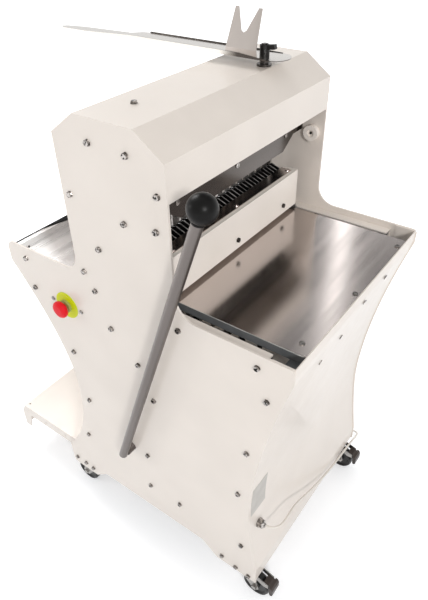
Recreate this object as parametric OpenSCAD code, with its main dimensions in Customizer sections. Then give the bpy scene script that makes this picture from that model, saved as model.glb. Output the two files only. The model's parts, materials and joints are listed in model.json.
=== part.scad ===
/* [Body] */
// Space from an end of the pusher bar to a side plate's outer face
side_space = 45; // [44:1:50]
// Thickness of a side plate
plate_t = 5; // [4:0.5:6]
// Height of a side plate from its feet to its crown
column_h = 1100; // [1080:5:1140]
// Half width of the column, front to back
column_half = 129; // [120:1:135]
// Half width of the flat crown
crown_half = 68; // [55:1:80]
// Drop of the chamfer between the crown and the column's side
crown_drop = 43; // [30:1:50]
// Height of the wings above the feet
wing_h = 758; // [750:1:764]
// Radius of the inner corner between a wing and the column
wing_fillet = 44; // [30:1:55]
// Reach of the infeed wing in front of the centre line
infeed_reach = 382; // [375:1:400]
// Reach of the outfeed wing behind the centre line
outfeed_reach = 363; // [355:1:380]
// Front edge's distance from the centre line at its waist
front_waist = 302; // [296:1:308]
// Height of the front edge's waist
front_waist_h = 270; // [250:5:290]
// Rear edge's distance from the centre line at its waist
rear_waist = 214; // [205:1:222]
// Height of the rear edge's waist
rear_waist_h = 380; // [360:5:400]
// Front foot's distance from the centre line
front_foot = 328; // [322:1:340]
// Rear foot's distance from the centre line
rear_foot = 318; // [312:1:330]
// Height of the arch between the feet
arch_h = 38; // [30:1:42]
// Thickness of the painted cover sheets
sheet_t = 2; // [1.5:0.5:3]
// Inset of a cover sheet from the side plates' edges
cover_inset = 2; // [1:0.5:4]
// Height of the hood's front face, below the chamfer
hood_front = 70; // [58:1:82]
// Height of the hood's rear lower edge
hood_rear_h = 930; // [915:1:960]
// Width of the flange that bolts the hood to a side plate
hood_flange = 54; // [40:1:60]

/* [Table and outfeed] */
// Height of the infeed table's top above the feet
table_h = 750; // [746:0.5:752]
// Gap from the infeed table to a carriage plate
table_gap = 3; // [2:0.5:12]
// Front to back place of the table's edge next to the blades
table_back = 45; // [40:1:60]
// Thickness of the stainless sheets
steel_t = 1.5; // [1:0.25:2]
// Corner radius of the infeed table
table_r = 8; // [4:1:14]
// Depth of the outfeed trough below its rims
trough_dip = 18; // [10:1:20]
// Rear shelf's reach behind the centre line
shelf_reach = 570; // [520:5:620]
// Height of the rear shelf's top above the feet
shelf_h = 75; // [70:1:85]
// Depth of the rear shelf's side lips
shelf_lip = 35; // [25:1:40]
// Gap from the rear shelf to the inner face of a side plate
shelf_gap = 13; // [5:1:25]

/* [Blades] */
// Spacing of neighbouring blades, which is one slice
slice_t = 13; // [12:0.5:13]
// Number of slices that the outer blades hold between them
slices = 32; // [28:2:32]
// Width of a blade
blade_w = 13; // [10:0.5:14]
// Thickness of a blade
blade_t = 0.6; // [0.5:0.1:0.8]
// Length of one tooth along a blade
tooth_pitch = 12; // [8:0.5:16]
// Depth of the teeth
tooth_depth = 1.6; // [1:0.1:2.5]
// Distance between the two rows of blades
row_gap = 28; // [26:1:32]
// Travel of a blade frame each way from its middle place
blade_travel = 8; // [6:0.5:8]
// Distance from an outer blade to the middle of an upright
upright_out = 18; // [16:0.5:22]
// Diameter of an upright of a blade frame
upright_d = 16; // [12:0.5:16]

/* [Pusher and lever] */
// Height of the pusher bar's face
bar_h = 89; // [80:1:95]
// Depth of the pusher bar, front to back
bar_d = 36; // [30:1:38]
// Front to back place of the pusher bar's outer face at rest
bar_front = 91; // [90:0.5:94]
// Clearance under the pusher bar
bar_clear = 10; // [6:0.5:14]
// Thickness of a finger of the pusher's comb
finger_t = 3; // [2:0.25:4]
// Reach of the fingers past the pusher bar
finger_reach = 74; // [70:1:80]
// Length of the lever from its pivot to the middle of its knob
lever_l = 809; // [760:1:850]
// Lean of the lever at rest, towards the infeed side
lever_lean = 19.7; // [15:0.1:22]
// Diameter of the lever's rod
rod_d = 21.5; // [18:0.5:24]
// Diameter of the lever's knob
knob_d = 50; // [40:1:54]
// Pivot's place, front to back
pivot_x = -51; // [-55:1:-45]
// Pivot's height above the feet
pivot_h = 260; // [255:1:270]
// Diameter of the lever's shaft
shaft_d = 20; // [16:0.5:24]
// Length of a crank arm between its two centres
arm_l = 425; // [420:1:428]
// Half of the swing of the lever
half_swing = 15; // [12:0.5:15]
// Diameter of the pin at the end of a crank arm
pin_d = 12; // [10:0.5:12]

/* [Tray on the hood] */
// Length of the tray's wide part
tray_l = 352; // [320:1:380]
// Length of the tray's tongue
tongue_l = 241; // [200:1:270]
// Width of the tray
tray_w = 68; // [60:1:80]
// Height of the tray above the hood
tray_lift = 18; // [14:1:24]
// Height of the tray's side lips
tray_lip = 8; // [5:0.5:12]
// Height of the forked plate
fork_h = 92; // [80:1:100]
// Width of the forked plate at its foot
fork_w = 76; // [60:1:76]

/* [Casters] */
// Height of a caster from the floor to its plate's top
caster_h = 100; // [95:1:110]
// Diameter of a caster wheel
wheel_d = 75; // [65:1:75]
// Width of a caster wheel
wheel_w = 24; // [20:1:28]
// Trail of a caster's wheel behind its swivel
caster_trail = 30; // [24:1:34]

/* [Fasteners and cord] */
// Width over the flats of a bolt's head
bolt_af = 10; // [8:0.5:12]
// Height of a bolt's head
bolt_head = 4; // [3:0.5:4]
// Diameter of a bolt's washer
washer_d = 13; // [12:0.5:15]
// Diameter of a bolt's shank
bolt_d = 6; // [5:0.5:6]
// Diameter of the mains cord
cord_d = 6; // [5:0.5:8]

/* [Hidden] */

post_x = 49;
post_y = 134;
stud_r = 6;
base_h = 38;
ear_h = base_h + 12;

upright_r = upright_d / 2;
upright_y = slices * slice_t / 2 + upright_out;
bar_half_l = upright_y + upright_r + 1;
half_w = bar_half_l + side_space;
inner_w = half_w - plate_t;
table_half = bar_half_l - table_gap;
shelf_half = inner_w - shelf_gap;
clear = 0.3;
run_fit = 0.05;
tiny = 0.01;
shoulder_h = column_h - crown_drop;
hood_front_h = shoulder_h - hood_front;
front_tip_h = wing_h - 33;
rear_tip_h = wing_h - 53;
front_foot_h = 47;
rear_foot_h = 77;
front_tip_r = 10;
rear_tip_r = 20;
foot_r = 14;
foot_in_front = 118;
foot_in_rear = 95;
arch_slope = 45;

floor_z = caster_h;
knob_out = 28;
knob_y = -half_w - knob_out;
bolt_out = half_w + 1 + bolt_head;
x_mid = (infeed_reach - shelf_reach) / 2;
y_mid = (knob_y - knob_d / 2 + bolt_out) / 2;

white = [0.91, 0.88, 0.85];
steel = [0.62, 0.6, 0.59];
zinc = [0.72, 0.71, 0.7];
dark = [0.13, 0.13, 0.13];
grey = [0.45, 0.46, 0.47];
brown = [0.28, 0.25, 0.24];

// Puts a piece into the model's frame, whose origin is on the floor under the object's middle
module placed() {
    translate([-x_mid, -y_mid, floor_z]) children();
}

// Extrudes a profile drawn in x and z across the machine, from y0 to y1
module across(y0, y1) {
    translate([0, y1, 0]) rotate([90, 0, 0]) linear_extrude(y1 - y0) children();
}

// Draws its children on the near side and mirrored on the far side
module both_sides() {
    children();
    mirror([0, 1, 0]) children();
}

// A round bar along y
module bar_y(x, z, r, y0, y1) {
    translate([x, y1, z]) rotate([90, 0, 0]) cylinder(r = r, h = y1 - y0, $fn = 48);
}

// A round bar along x
module bar_x(y, z, r, x0, x1) {
    translate([x0, y, z]) rotate([0, 90, 0]) cylinder(r = r, h = x1 - x0, $fn = 48);
}

// A round bar along z
module bar_z(x, y, r, z0, z1) {
    translate([x, y, z0]) cylinder(r = r, h = z1 - z0, $fn = 48);
}

// A block between two corners
module block(a, b) {
    translate(a) cube(b - a);
}

function arc(cx, cz, r, a0, a1, n = 8) =
    [for (i = [0:n]) let (a = a0 + (a1 - a0) * i / n) [cx + r * cos(a), cz + r * sin(a)]];

// Bowed edges of the side plates, as the distance from the centre line at height z
function bow(z, waist, waist_h, end, end_h, p) =
    waist + (end - waist) * pow(min(1, abs(z - waist_h) / abs(end_h - waist_h)), p);
function front_x(z) = z > front_waist_h
    ? bow(z, front_waist, front_waist_h, infeed_reach, front_tip_h, 1.75)
    : bow(z, front_waist, front_waist_h, front_foot, front_foot_h, 1.5);
function rear_x(z) = z > rear_waist_h
    ? -bow(z, rear_waist, rear_waist_h, outfeed_reach, rear_tip_h, 1.7)
    : -bow(z, rear_waist, rear_waist_h, rear_foot, rear_foot_h, 2.4);
function front_edge(z0, z1, n) = [for (i = [0:n]) let (z = z0 + (z1 - z0) * i / n) [front_x(z), z]];
function rear_edge(z0, z1, n) = [for (i = [0:n]) let (z = z0 + (z1 - z0) * i / n) [rear_x(z), z]];

// A strip of even thickness d to the left of a path of points
function turn_left(a, b) = let (v = b - a) [-v[1], v[0]] / norm(v);
function mitred(p, i, d) =
    i == 0 ? p[0] + d * turn_left(p[0], p[1])
    : i == len(p) - 1 ? p[i] + d * turn_left(p[i - 1], p[i])
    : let (m = turn_left(p[i - 1], p[i]), n = turn_left(p[i], p[i + 1])) p[i] + d * (m + n) / (1 + m * n);
function shifted(p, d) = [for (i = [0:len(p) - 1]) mitred(p, i, d)];
function strip(p, d) = concat(p, [for (i = [len(p) - 1:-1:0]) mitred(p, i, d)]);

// Side plates

plate_outline = concat(
    [[front_foot, 0]],
    front_edge(front_foot_h, front_waist_h, 10),
    front_edge(front_waist_h + 30, front_tip_h, 14),
    arc(infeed_reach - front_tip_r, wing_h - front_tip_r, front_tip_r, 0, 90, 5),
    arc(column_half + wing_fillet, wing_h + wing_fillet, wing_fillet, 270, 180, 8),
    [[column_half, shoulder_h], [crown_half, column_h], [-crown_half, column_h], [-column_half, shoulder_h]],
    arc(-column_half - wing_fillet, wing_h + wing_fillet, wing_fillet, 0, -90, 8),
    arc(-outfeed_reach + rear_tip_r, wing_h - rear_tip_r, rear_tip_r, 90, 180, 6),
    rear_edge(rear_tip_h, rear_waist_h, 14),
    rear_edge(rear_waist_h - 30, rear_foot_h, 10),
    arc(-rear_foot + foot_r, foot_r, foot_r, 180, 270, 5),
    [[-rear_foot + foot_in_rear, 0],
     [-rear_foot + foot_in_rear + arch_slope, arch_h],
     [front_foot - foot_in_front - arch_slope, arch_h],
     [front_foot - foot_in_front, 0]]);

// Cross bars between the side plates: x, z, radius, and how many sheets lie between bar and plate
bar_r = 10;
cradle_bar_z = 484;
motor_bar_z = 135;
cross_bar_list = [
    [48, cradle_bar_z, bar_r, 0],
    [-203, 500, bar_r, 1],
    [-183, 344, bar_r, 1],
    [1, motor_bar_z, bar_r, 0],
    [98, motor_bar_z, bar_r, 0],
    [-column_half + 21, hood_rear_h + 12, bar_r, 1]];
// Short pegs on the side plates beside the outfeed: x, z and radius
pegs = [[-column_half + 20, wing_h + 11, 9], [-column_half + 44, wing_h - 29, 6.5]];

// Pusher's guide rails
rail_z = table_h - 22;
rail_h = 32;
rail_t = 3;
rail_depth = 25;
rail_x0 = -44;
rail_x1 = 322;
rail_bolts = [134, 309];

// Bolts that hold the cover sheets, from the near edge of the side plates
cover_bolt_in = 31;
apron_screws = [[118, 719], [14, 717], [-38, 652], [-126, 649]];
crown_bolt = [-13, -186];
front_cover_bolts = [656, 482, 329, 130];
rear_cover_bolts = [654, 186];
estop_x = -190;
estop_z = 647;

cover_bolts = concat(
    [for (z = front_cover_bolts) [front_x(z) - cover_bolt_in, z]],
    [for (z = rear_cover_bolts) [rear_x(z) + cover_bolt_in, z]]);
hood_bolts = [[column_half - 20, hood_front_h + 10], [-38, column_h - 44], [48, column_h - 47]];
foot_bolts = [[-rear_foot + 19, 29], [-rear_foot + 55, 27], [-rear_foot + 84, 24],
    [front_foot - 101, 24], [front_foot - 59, 14], [front_foot - 21, 12]];
bumper_at = [column_half - 29, hood_front_h - 58];
trough_bolt = [-outfeed_reach + 60, wing_h - 28];
bush_ear = [pivot_x + 55, pivot_h];
guide_h0 = 905;
guide_bolts = [[25, guide_h0 + 16], [-53, guide_h0 - 64]];
pad_bolts = [[-54, 643], [13, 573]];

side_bolts = concat(
    [for (b = concat(cross_bar_list, pegs)) [b[0], b[1]]],
    [for (x = rail_bolts) [x, rail_z]],
    cover_bolts, hood_bolts, foot_bolts, guide_bolts, pad_bolts, [trough_bolt, bumper_at, bush_ear]);

estop_hole_r = 11.2;
bush_r = 15;

// Clearance holes for the side bolts through a side plate and the sheet behind it
module bolt_holes() {
    both_sides() for (b = side_bolts)
        bar_y(b[0], b[1], bolt_d / 2 + clear, -half_w - 1, -inner_w + rail_t + 1);
}

module side_plate_blank() {
    difference() {
        across(-half_w, -inner_w) polygon(plate_outline);
        bolt_holes();
        bar_y(pivot_x, pivot_h, bush_r + run_fit, -half_w - 1, -inner_w + 1);
    }
}

module side_plate_near() placed() {
    color(white) difference() {
        side_plate_blank();
        bar_y(estop_x, estop_z, estop_hole_r, -half_w - 1, -inner_w + 1);
    }
}

module side_plate_far() placed() {
    color(white) mirror([0, 1, 0]) side_plate_blank();
}

// Hood over the blades, with a flange at each end
hood_path = [[column_half, hood_front_h], [column_half, shoulder_h], [crown_half, column_h],
    [-crown_half, column_h], [-column_half, shoulder_h], [-column_half, hood_rear_h]];

module hood() placed() {
    color(white) difference() {
        union() {
            across(-inner_w, inner_w) polygon(strip(hood_path, sheet_t));
            both_sides() across(-inner_w, -inner_w + sheet_t) polygon(strip(hood_path, hood_flange));
        }
        bolt_holes();
        bar_z(post_x, post_y, stud_r + clear, column_h - sheet_t - 1, column_h + 1);
        bar_z(crown_bolt[0], crown_bolt[1], bolt_d / 2 + clear, column_h - sheet_t - 1, column_h + 1);
    }
}

// Covers that follow the bowed edges of the side plates
cover_flange = 46;
apron_path = shifted(front_edge(front_waist_h, wing_h - 1, 20), cover_inset);
lower_path = shifted(concat([[front_foot, 3]], front_edge(front_foot_h, front_waist_h, 10)), cover_inset);
lower_flange_path = shifted(front_edge(ear_h + 12, front_waist_h - 2, 10), cover_inset);
apron_flange_path = shifted(front_edge(front_waist_h + 2, wing_h - 1, 20), cover_inset);
rear_path = shifted(concat(rear_edge(wing_h - 16, rear_foot_h, 26), [[-rear_foot, 3]]), cover_inset);
rear_flange_path = shifted(rear_edge(wing_h - 16, rear_foot_h + 6, 26), cover_inset);

module cover(face_path, flange_path) {
    difference() {
        union() {
            across(-inner_w, inner_w) polygon(strip(face_path, sheet_t));
            both_sides() across(-inner_w, -inner_w + sheet_t) polygon(strip(flange_path, cover_flange));
        }
        bolt_holes();
    }
}

// Stands its children on the apron's face, square to it, at [y, z]
module on_apron(s) {
    slope = (front_x(s[1] + 1) - front_x(s[1] - 1)) / 2;
    translate([front_x(s[1]) - cover_inset, s[0], s[1]]) rotate([0, 90 + atan(slope), 0]) children();
}

module front_apron() placed() {
    color(white) difference() {
        cover(apron_path, apron_flange_path);
        for (s = apron_screws) on_apron(s) translate([0, 0, -9]) cylinder(r = screw_r + clear, h = 12, $fn = 48);
    }
}

gland_y = -inner_w + 35;
gland_z = 197;
gland_r = 8;
gland_x = front_x(gland_z) - cover_inset;
gland_tilt = 6;

module lower_panel() placed() {
    color(white) difference() {
        cover(lower_path, lower_flange_path);
        translate([gland_x, gland_y, gland_z]) rotate([0, 90 - gland_tilt, 0])
            cylinder(r = gland_r + clear, h = 30, center = true, $fn = 48);
    }
}

module rear_panel() placed() {
    color(white) cover(rear_path, rear_flange_path);
}

// Infeed table and what carries it

table_front = infeed_reach - 6;
bearer_y1 = table_half - 7;
bearer_y0 = bearer_y1 - 20;
bearer_h = 24;
table_screws = [[table_front - 24, 29 - table_half], [table_front - 10, -15], [table_front - 9, table_half - 33]];

module rounded_rect(x0, x1, y0, y1, r) {
    polygon(concat(arc(x1 - r, y1 - r, r, 0, 90), arc(x0 + r, y1 - r, r, 90, 180),
        arc(x0 + r, y0 + r, r, 180, 270), arc(x1 - r, y0 + r, r, 270, 360)));
}

module infeed_table() placed() {
    color(steel) difference() {
        translate([0, 0, table_h - steel_t]) linear_extrude(steel_t)
            rounded_rect(table_back, table_front, -table_half, table_half, table_r);
        for (s = table_screws) bar_z(s[0], s[1], screw_r + clear, table_h - steel_t - 1, table_h + 1);
    }
}

bearer_top = table_h - steel_t;
leg_foot = [cross_bar_list[0][0], cross_bar_list[0][1]];
eye_r = 18;

module table_frame() placed() {
    color(grey) difference() {
        union() {
            both_sides() {
                block([table_back + 2, -bearer_y1, bearer_top - bearer_h],
                    [table_front - 4, -bearer_y0, bearer_top]);
                across(-bearer_y1, -bearer_y0) polygon([
                    [table_back + 2, bearer_top - bearer_h + 1], [table_back + 30, bearer_top - bearer_h + 1],
                    leg_foot + [eye_r - 4, 8], leg_foot + [-eye_r + 4, 8]]);
                bar_y(leg_foot[0], leg_foot[1], eye_r, -bearer_y1, -bearer_y0);
            }
            block([table_front - 34, -inner_w + sheet_t, bearer_top - 2 * bearer_h],
                [table_front - 8, inner_w - sheet_t, bearer_top - bearer_h]);
            for (s = table_screws)
                bar_z(s[0], s[1], 7, bearer_top - bearer_h - 1, bearer_top);
        }
        bar_y(leg_foot[0], leg_foot[1], bar_r, -inner_w, inner_w);
        for (s = table_screws) bar_z(s[0], s[1], screw_r, bearer_top - 12, bearer_top + 1);
    }
}

// Outfeed trough and rear shelf

trough_x0 = -outfeed_reach + 18;
trough_x1 = -45;
trough_rim = table_h + 1;
trough_path = concat([[trough_x0, trough_rim]],
    [for (i = [0:14]) let (t = i / 14)
        [trough_x0 + 15 + (trough_x1 - trough_x0 - 15) * t,
         trough_rim - trough_dip * pow(sin(180 * t), 0.8) - 4 * t]]);

module outfeed_trough() placed() {
    color(steel) difference() {
        union() {
            across(-inner_w, inner_w) polygon(strip(trough_path, -steel_t));
            both_sides() across(-inner_w, -inner_w + steel_t) polygon([
                trough_bolt + [-10, 17], trough_bolt + [40, 8], trough_bolt + [30, -14],
                trough_bolt + [-8, -14]]);
        }
        bolt_holes();
    }
}

shelf_nose = 18;
shelf_drop = 95;
shelf_path = [[-rear_foot + cover_inset, shelf_h], [-shelf_reach + shelf_nose, shelf_h],
    [-shelf_reach, shelf_h - 33], [-shelf_reach, shelf_h - shelf_drop]];
shelf_hole_r = 3;

module rear_shelf() placed() {
    color(white) difference() {
        union() {
            across(-shelf_half, shelf_half) polygon(strip(shelf_path, sheet_t));
            both_sides() across(-shelf_half, -shelf_half + sheet_t) polygon([
                shelf_path[0], shelf_path[1], shelf_path[2],
                [-shelf_reach, shelf_h - shelf_drop], [-shelf_reach + 22, shelf_h - shelf_drop],
                [-shelf_reach + 40, shelf_h - shelf_lip], [-rear_foot + cover_inset, shelf_h - shelf_lip]]);
        }
        for (x = [-540, -455, -370])
            bar_y(x, shelf_h - 18, shelf_hole_r, -shelf_half - 1, -shelf_half + sheet_t + 1);
        both_sides() bar_z(-shelf_reach + 27, -shelf_half + 15, shelf_hole_r, shelf_h - sheet_t - 1, shelf_h + 1);
    }
}

// Base

base_t = 3;
front_base = [front_foot - foot_in_front + 5, front_foot - 6];
rear_base = [-rear_foot + 8, -rear_foot + foot_in_rear];
swivel_y = inner_w - 30;
front_swivel = front_foot - 43;
rear_swivel = -rear_foot + 48;
caster_plate = 30;
kingpin_r = 6;

module base_channel(x) {
    difference() {
        union() {
            block([x[0], -inner_w, 0], [x[1], inner_w, base_t]);
            block([x[0], -inner_w, 0], [x[0] + base_t, inner_w, base_h]);
            block([x[1] - base_t, -inner_w, 0], [x[1], inner_w, base_h]);
            both_sides() block([x[0], -inner_w, 0], [x[1], -inner_w + base_t, ear_h]);
        }
        bolt_holes();
    }
}

module base_channels() placed() {
    color(white) difference() {
        union() {
            base_channel(front_base);
            base_channel(rear_base);
        }
        for (x = [front_swivel, rear_swivel]) for (s = [-1, 1])
            bar_z(x, s * swivel_y, kingpin_r + 3, -1, base_t + 1);
    }
    color(zinc) for (x = [front_swivel, rear_swivel]) for (s = [-1, 1]) difference() {
        block([x - caster_plate, s * swivel_y - caster_plate, -base_t],
            [x + caster_plate, s * swivel_y + caster_plate, 0]);
        bar_z(x, s * swivel_y, kingpin_r + run_fit, -base_t - 1, 1);
    }
}

tap_depth = 14;

module cross_bars() placed() {
    color(zinc) difference() {
        union() {
            for (b = cross_bar_list) bar_y(b[0], b[1], b[2], -inner_w + b[3] * sheet_t, inner_w - b[3] * sheet_t);
            both_sides() for (b = pegs) bar_y(b[0], b[1], b[2], -inner_w, -inner_w + 22);
        }
        both_sides() for (b = concat(cross_bar_list, pegs))
            bar_y(b[0], b[1], bolt_d / 2 + run_fit, -inner_w - 1, -inner_w + tap_depth);
    }
}

// Guard over the infeed side of the blades

guard_x = 75;
guard_h0 = 906;
guard_h1 = 960;
guard_half = bar_half_l + 5;
guard_screws = [47 - guard_half, 0, guard_half - 47];
guard_screw_z = 941;

module guard_outline() {
    polygon([[-guard_half, guard_h1], [guard_half, guard_h1], [guard_half, guard_h1 - 17],
        [guard_half - 55, guard_h0], [-guard_half + 55, guard_h0], [-guard_half, guard_h1 - 17]]);
}

module upper_guard() placed() {
    color(steel) difference() {
        translate([guard_x - 1, 0, 0]) rotate([90, 0, 90]) linear_extrude(sheet_t) guard_outline();
        for (y = guard_screws) bar_x(y, guard_screw_z, screw_r + clear, guard_x - 2, guard_x + 2);
    }
    color(grey) difference() {
        block([guard_x - 21, -inner_w, guard_screw_z - 8], [guard_x - 1, inner_w, guard_screw_z + 12]);
        for (y = guard_screws) bar_x(y, guard_screw_z, screw_r, guard_x - 14, guard_x);
    }
}

// Pusher: rails, slide blocks, carriage, bar and comb

push_x = 73;
bar_half_d = bar_d / 2;
pusher_z0 = table_h + bar_clear;
pusher_z1 = pusher_z0 + bar_h;
carriage_y0 = bar_half_l;
carriage_t = 5;
slide_x = [-20, 60];
slide_z0 = rail_z - rail_h / 2 + rail_t + clear;
slide_z1 = rail_z + rail_h / 2 - rail_t - clear;
rail_web_y = inner_w - rail_t;
slide_y1 = rail_web_y - 8;
slide_t = 14;

module guide_rails() placed() {
    color(white) both_sides() difference() {
        block([rail_x0, -inner_w, rail_z - rail_h / 2], [rail_x1, -inner_w + rail_depth, rail_z + rail_h / 2]);
        block([rail_x0 - 1, -rail_web_y, rail_z - rail_h / 2 + rail_t],
            [rail_x1 + 1, -inner_w + rail_depth + 1, rail_z + rail_h / 2 - rail_t]);
        bolt_holes();
    }
}

module slide_blocks() placed() {
    color(dark) both_sides() for (x = slide_x) {
        block([x - 18, -slide_y1, slide_z0], [x + 18, -slide_y1 + slide_t, slide_z1]);
        bar_y(x, rail_z, 8, -slide_y1 + slide_t - 1, -carriage_y0 - carriage_t);
    }
}

pin_r = pin_d / 2;
arm_pin = [pivot_x - arm_l * sin(half_swing), pivot_h + arm_l * cos(half_swing)];
slot_drop = arm_l * (1 - cos(half_swing));
slot_side = 1;

module carriage_plates() placed() {
    color(zinc) both_sides() across(-carriage_y0 - carriage_t, -carriage_y0) difference() {
        union() {
            polygon([[arm_pin[0] - 19, arm_pin[1] - 16], [arm_pin[0] - 19, arm_pin[1] + 34],
                [trough_x1 + 3, rail_z - 14], [trough_x1 + 3, table_h + 7], [push_x - 16, table_h + 7],
                [push_x - 13, pusher_z1 - 18], [push_x - 7, pusher_z1 - 12], [push_x + 7, pusher_z1 - 12],
                [push_x + 13, pusher_z1 - 18], [push_x + 16, table_h + 7], [95, table_h - 4],
                [95, table_h - 40], [80, table_h - 50], [trough_x1, table_h - 50], [arm_pin[0] + 30, arm_pin[1] - 16]]);
        }
        translate([arm_pin[0] - pin_r - slot_side, arm_pin[1] - pin_r - slot_side])
            square([pin_d + 2 * slot_side, slot_drop + pin_d + 2 * slot_side]);
    }
}

bar_bolts = [[-18, pusher_z0 + 21], [172, pusher_z0 + 21]];

module pusher_bar() placed() {
    color(white) difference() {
        block([push_x - bar_half_d, -bar_half_l, pusher_z0], [push_x + bar_half_d, bar_half_l, pusher_z1]);
        for (b = bar_bolts) bar_x(b[0], b[1], bolt_d / 2 + run_fit, push_x + bar_half_d - 12, push_x + bar_half_d + 1);
        for (y = strip_screws) bar_z(push_x + 1, y, screw_r, pusher_z1 - 12, pusher_z1 + 1);
    }
    color(zinc) for (b = bar_bolts) {
        bar_x(b[0], b[1], bolt_d / 2, push_x + bar_half_d - 10, push_x + bar_half_d + 1);
        translate([push_x + bar_half_d, b[0], b[1]]) rotate([0, 90, 0])
            cylinder(r = bolt_af / sqrt(3), h = bolt_head, $fn = 6);
    }
}

strip_screws = [22 - bar_half_l, 0, bar_half_l - 22];
strip_half = bar_half_l - 15;
screw_r = 2.5;
screw_head_r = 5.5;
screw_head = 1.8;

module comb_strip() placed() {
    color(steel) difference() {
        block([push_x - bar_half_d, -strip_half, pusher_z1], [push_x + 9, strip_half, pusher_z1 + sheet_t]);
        for (y = strip_screws) bar_z(push_x + 1, y, screw_r + clear, pusher_z1 - 1, pusher_z1 + 3);
    }
    color(zinc) for (y = strip_screws) {
        bar_z(push_x + 1, y, screw_r - run_fit, pusher_z1 - 10, pusher_z1 + sheet_t + 1);
        bar_z(push_x + 1, y, screw_head_r, pusher_z1 + sheet_t, pusher_z1 + sheet_t + screw_head);
    }
}

finger_root = push_x - bar_half_d;
finger_tip = finger_root - finger_reach;
finger_outline = concat(
    [[finger_root, pusher_z0 + 10], [finger_root, pusher_z1]],
    [for (i = [1:9]) let (a = 100 + i * 9)
        [finger_root - finger_reach + 2 + (finger_reach - 2) * (1 + cos(a)) * 0.99,
         pusher_z1 - 62 + 75 * sin(a)]],
    [[finger_tip, pusher_z0 + 22], [finger_tip + 6, pusher_z0 + 10]]);

module comb_fingers() placed() {
    color(dark) for (i = [0:slices + 1]) {
        y = (i - (slices + 1) / 2) * slice_t;
        across(y - finger_t / 2, y + finger_t / 2) polygon(finger_outline);
    }
}

// Lever: rod, knob, shaft and crank arms, turning about one axis

lever_dir = [sin(lever_lean), 0, cos(lever_lean)];
hub_r = 13.5;
rod_below = 8;
hub_y0 = half_w + clear;
hub_y1 = -knob_y - 6;
shaft_r = shaft_d / 2;
arm_y0 = carriage_y0 + carriage_t + 12;
arm_t = 8;
arm_hub_r = 20;

module lever_frame() {
    translate([pivot_x, knob_y, pivot_h]) rotate([0, lever_lean, 0]) children();
}

module lever_rod() placed() {
    color(zinc) difference() {
        union() {
            lever_frame() translate([0, 0, -rod_below])
                cylinder(r = rod_d / 2, h = rod_below + lever_l - knob_d / 2 - 2, $fn = 48);
            bar_y(pivot_x, pivot_h, hub_r, -hub_y1, -hub_y0);
        }
        bar_y(pivot_x, pivot_h, shaft_r, -hub_y1 + 4, -hub_y0 + 1);
    }
}

module lever_knob() placed() {
    color(dark) lever_frame() translate([0, 0, lever_l]) {
        sphere(r = knob_d / 2, $fn = 64);
        translate([0, 0, -knob_d / 2 - 2]) cylinder(r = rod_d / 2 + 1.5, h = 8, $fn = 48);
    }
}

module lever_shaft() placed() {
    color(zinc) bar_y(pivot_x, pivot_h, shaft_r, -hub_y1 + 4, half_w + 2);
}

module crank_arms() placed() {
    color(grey) both_sides() {
        difference() {
            union() {
                translate([pivot_x, -arm_y0, pivot_h]) rotate([90, half_swing * -1, 0]) linear_extrude(arm_t) union() {
                    circle(r = arm_hub_r, $fn = 64);
                    translate([0, arm_l]) circle(r = 13, $fn = 64);
                    polygon([[-16, 12], [16, 12], [11, arm_l], [-11, arm_l]]);
                }
            }
            bar_y(pivot_x, pivot_h, shaft_r, -arm_y0 - arm_t - 1, -arm_y0 + 1);
        }
        bar_y(arm_pin[0], arm_pin[1], pin_r, -arm_y0 - 1, -carriage_y0 + 1);
    }
}

module shaft_bushes() placed() {
    color(grey) both_sides() difference() {
        union() {
            bar_y(pivot_x, pivot_h, bush_r, -half_w, -inner_w + 10);
            across(-inner_w, -inner_w + 8) union() {
                translate([pivot_x, pivot_h]) circle(r = 24, $fn = 64);
                translate(bush_ear) circle(r = 12, $fn = 64);
                polygon([[pivot_x, pivot_h + 24], [bush_ear[0], bush_ear[1] + 12],
                    [bush_ear[0], bush_ear[1] - 12], [pivot_x, pivot_h - 24]]);
            }
        }
        bar_y(pivot_x, pivot_h, shaft_r + run_fit, -half_w - 1, -inner_w + 11);
        bar_y(bush_ear[0], bush_ear[1], bolt_d / 2 + run_fit, -inner_w - 1, -inner_w + 9);
    }
}

// Two blade frames, which saw up and down against each other

row_x = row_gap / 2;
blade_z0 = 738;
blade_z1 = 1012;
low_bar_h = 22;
top_bar_h = 24;
frame_bar_w = 16;
blade_count = slices + 1;
teeth = floor((blade_z1 - blade_z0) / tooth_pitch);

module blade_frame(side) {
    x = side * row_x;
    block([x - frame_bar_w / 2, -upright_y - upright_r, blade_z0 - low_bar_h],
        [x + frame_bar_w / 2, upright_y + upright_r, blade_z0]);
    block([x - frame_bar_w / 2, -upright_y - upright_r, blade_z1],
        [x + frame_bar_w / 2, upright_y + upright_r, blade_z1 + top_bar_h]);
    both_sides() bar_z(x, -upright_y, upright_r, blade_z0 - 1, blade_z1 + 1);
}

module blade_profile() {
    polygon(concat([[-blade_w / 2, blade_z0], [-blade_w / 2, blade_z1]],
        [for (i = [teeth:-1:0]) for (k = [0, 1])
            let (z = blade_z0 + (blade_z1 - blade_z0) * (i - k * 0.5) / teeth)
            if (z >= blade_z0) [blade_w / 2 - (k == 0 ? 0 : tooth_depth), z]]));
}

module blades(side) {
    for (i = [0:blade_count - 1]) if ((i % 2 == 0) == (side > 0)) {
        y = (i - (blade_count - 1) / 2) * slice_t;
        translate([side * row_x, 0, 0]) across(y - blade_t / 2, y + blade_t / 2) blade_profile();
    }
}

module blade_frame_front() placed() { color(zinc) blade_frame(1); }
module blade_frame_rear() placed() { color(zinc) blade_frame(-1); }
module blades_front() placed() { color(steel) blades(1); }
module blades_rear() placed() { color(steel) blades(-1); }

guide_len = 80;
guide_h1 = guide_h0 + guide_len;
guide_in_y = upright_y - 16;
guide_half_d = row_x + frame_bar_w + 3;
pad_t = arm_y0 + arm_t;
stop_l = 20;

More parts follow.
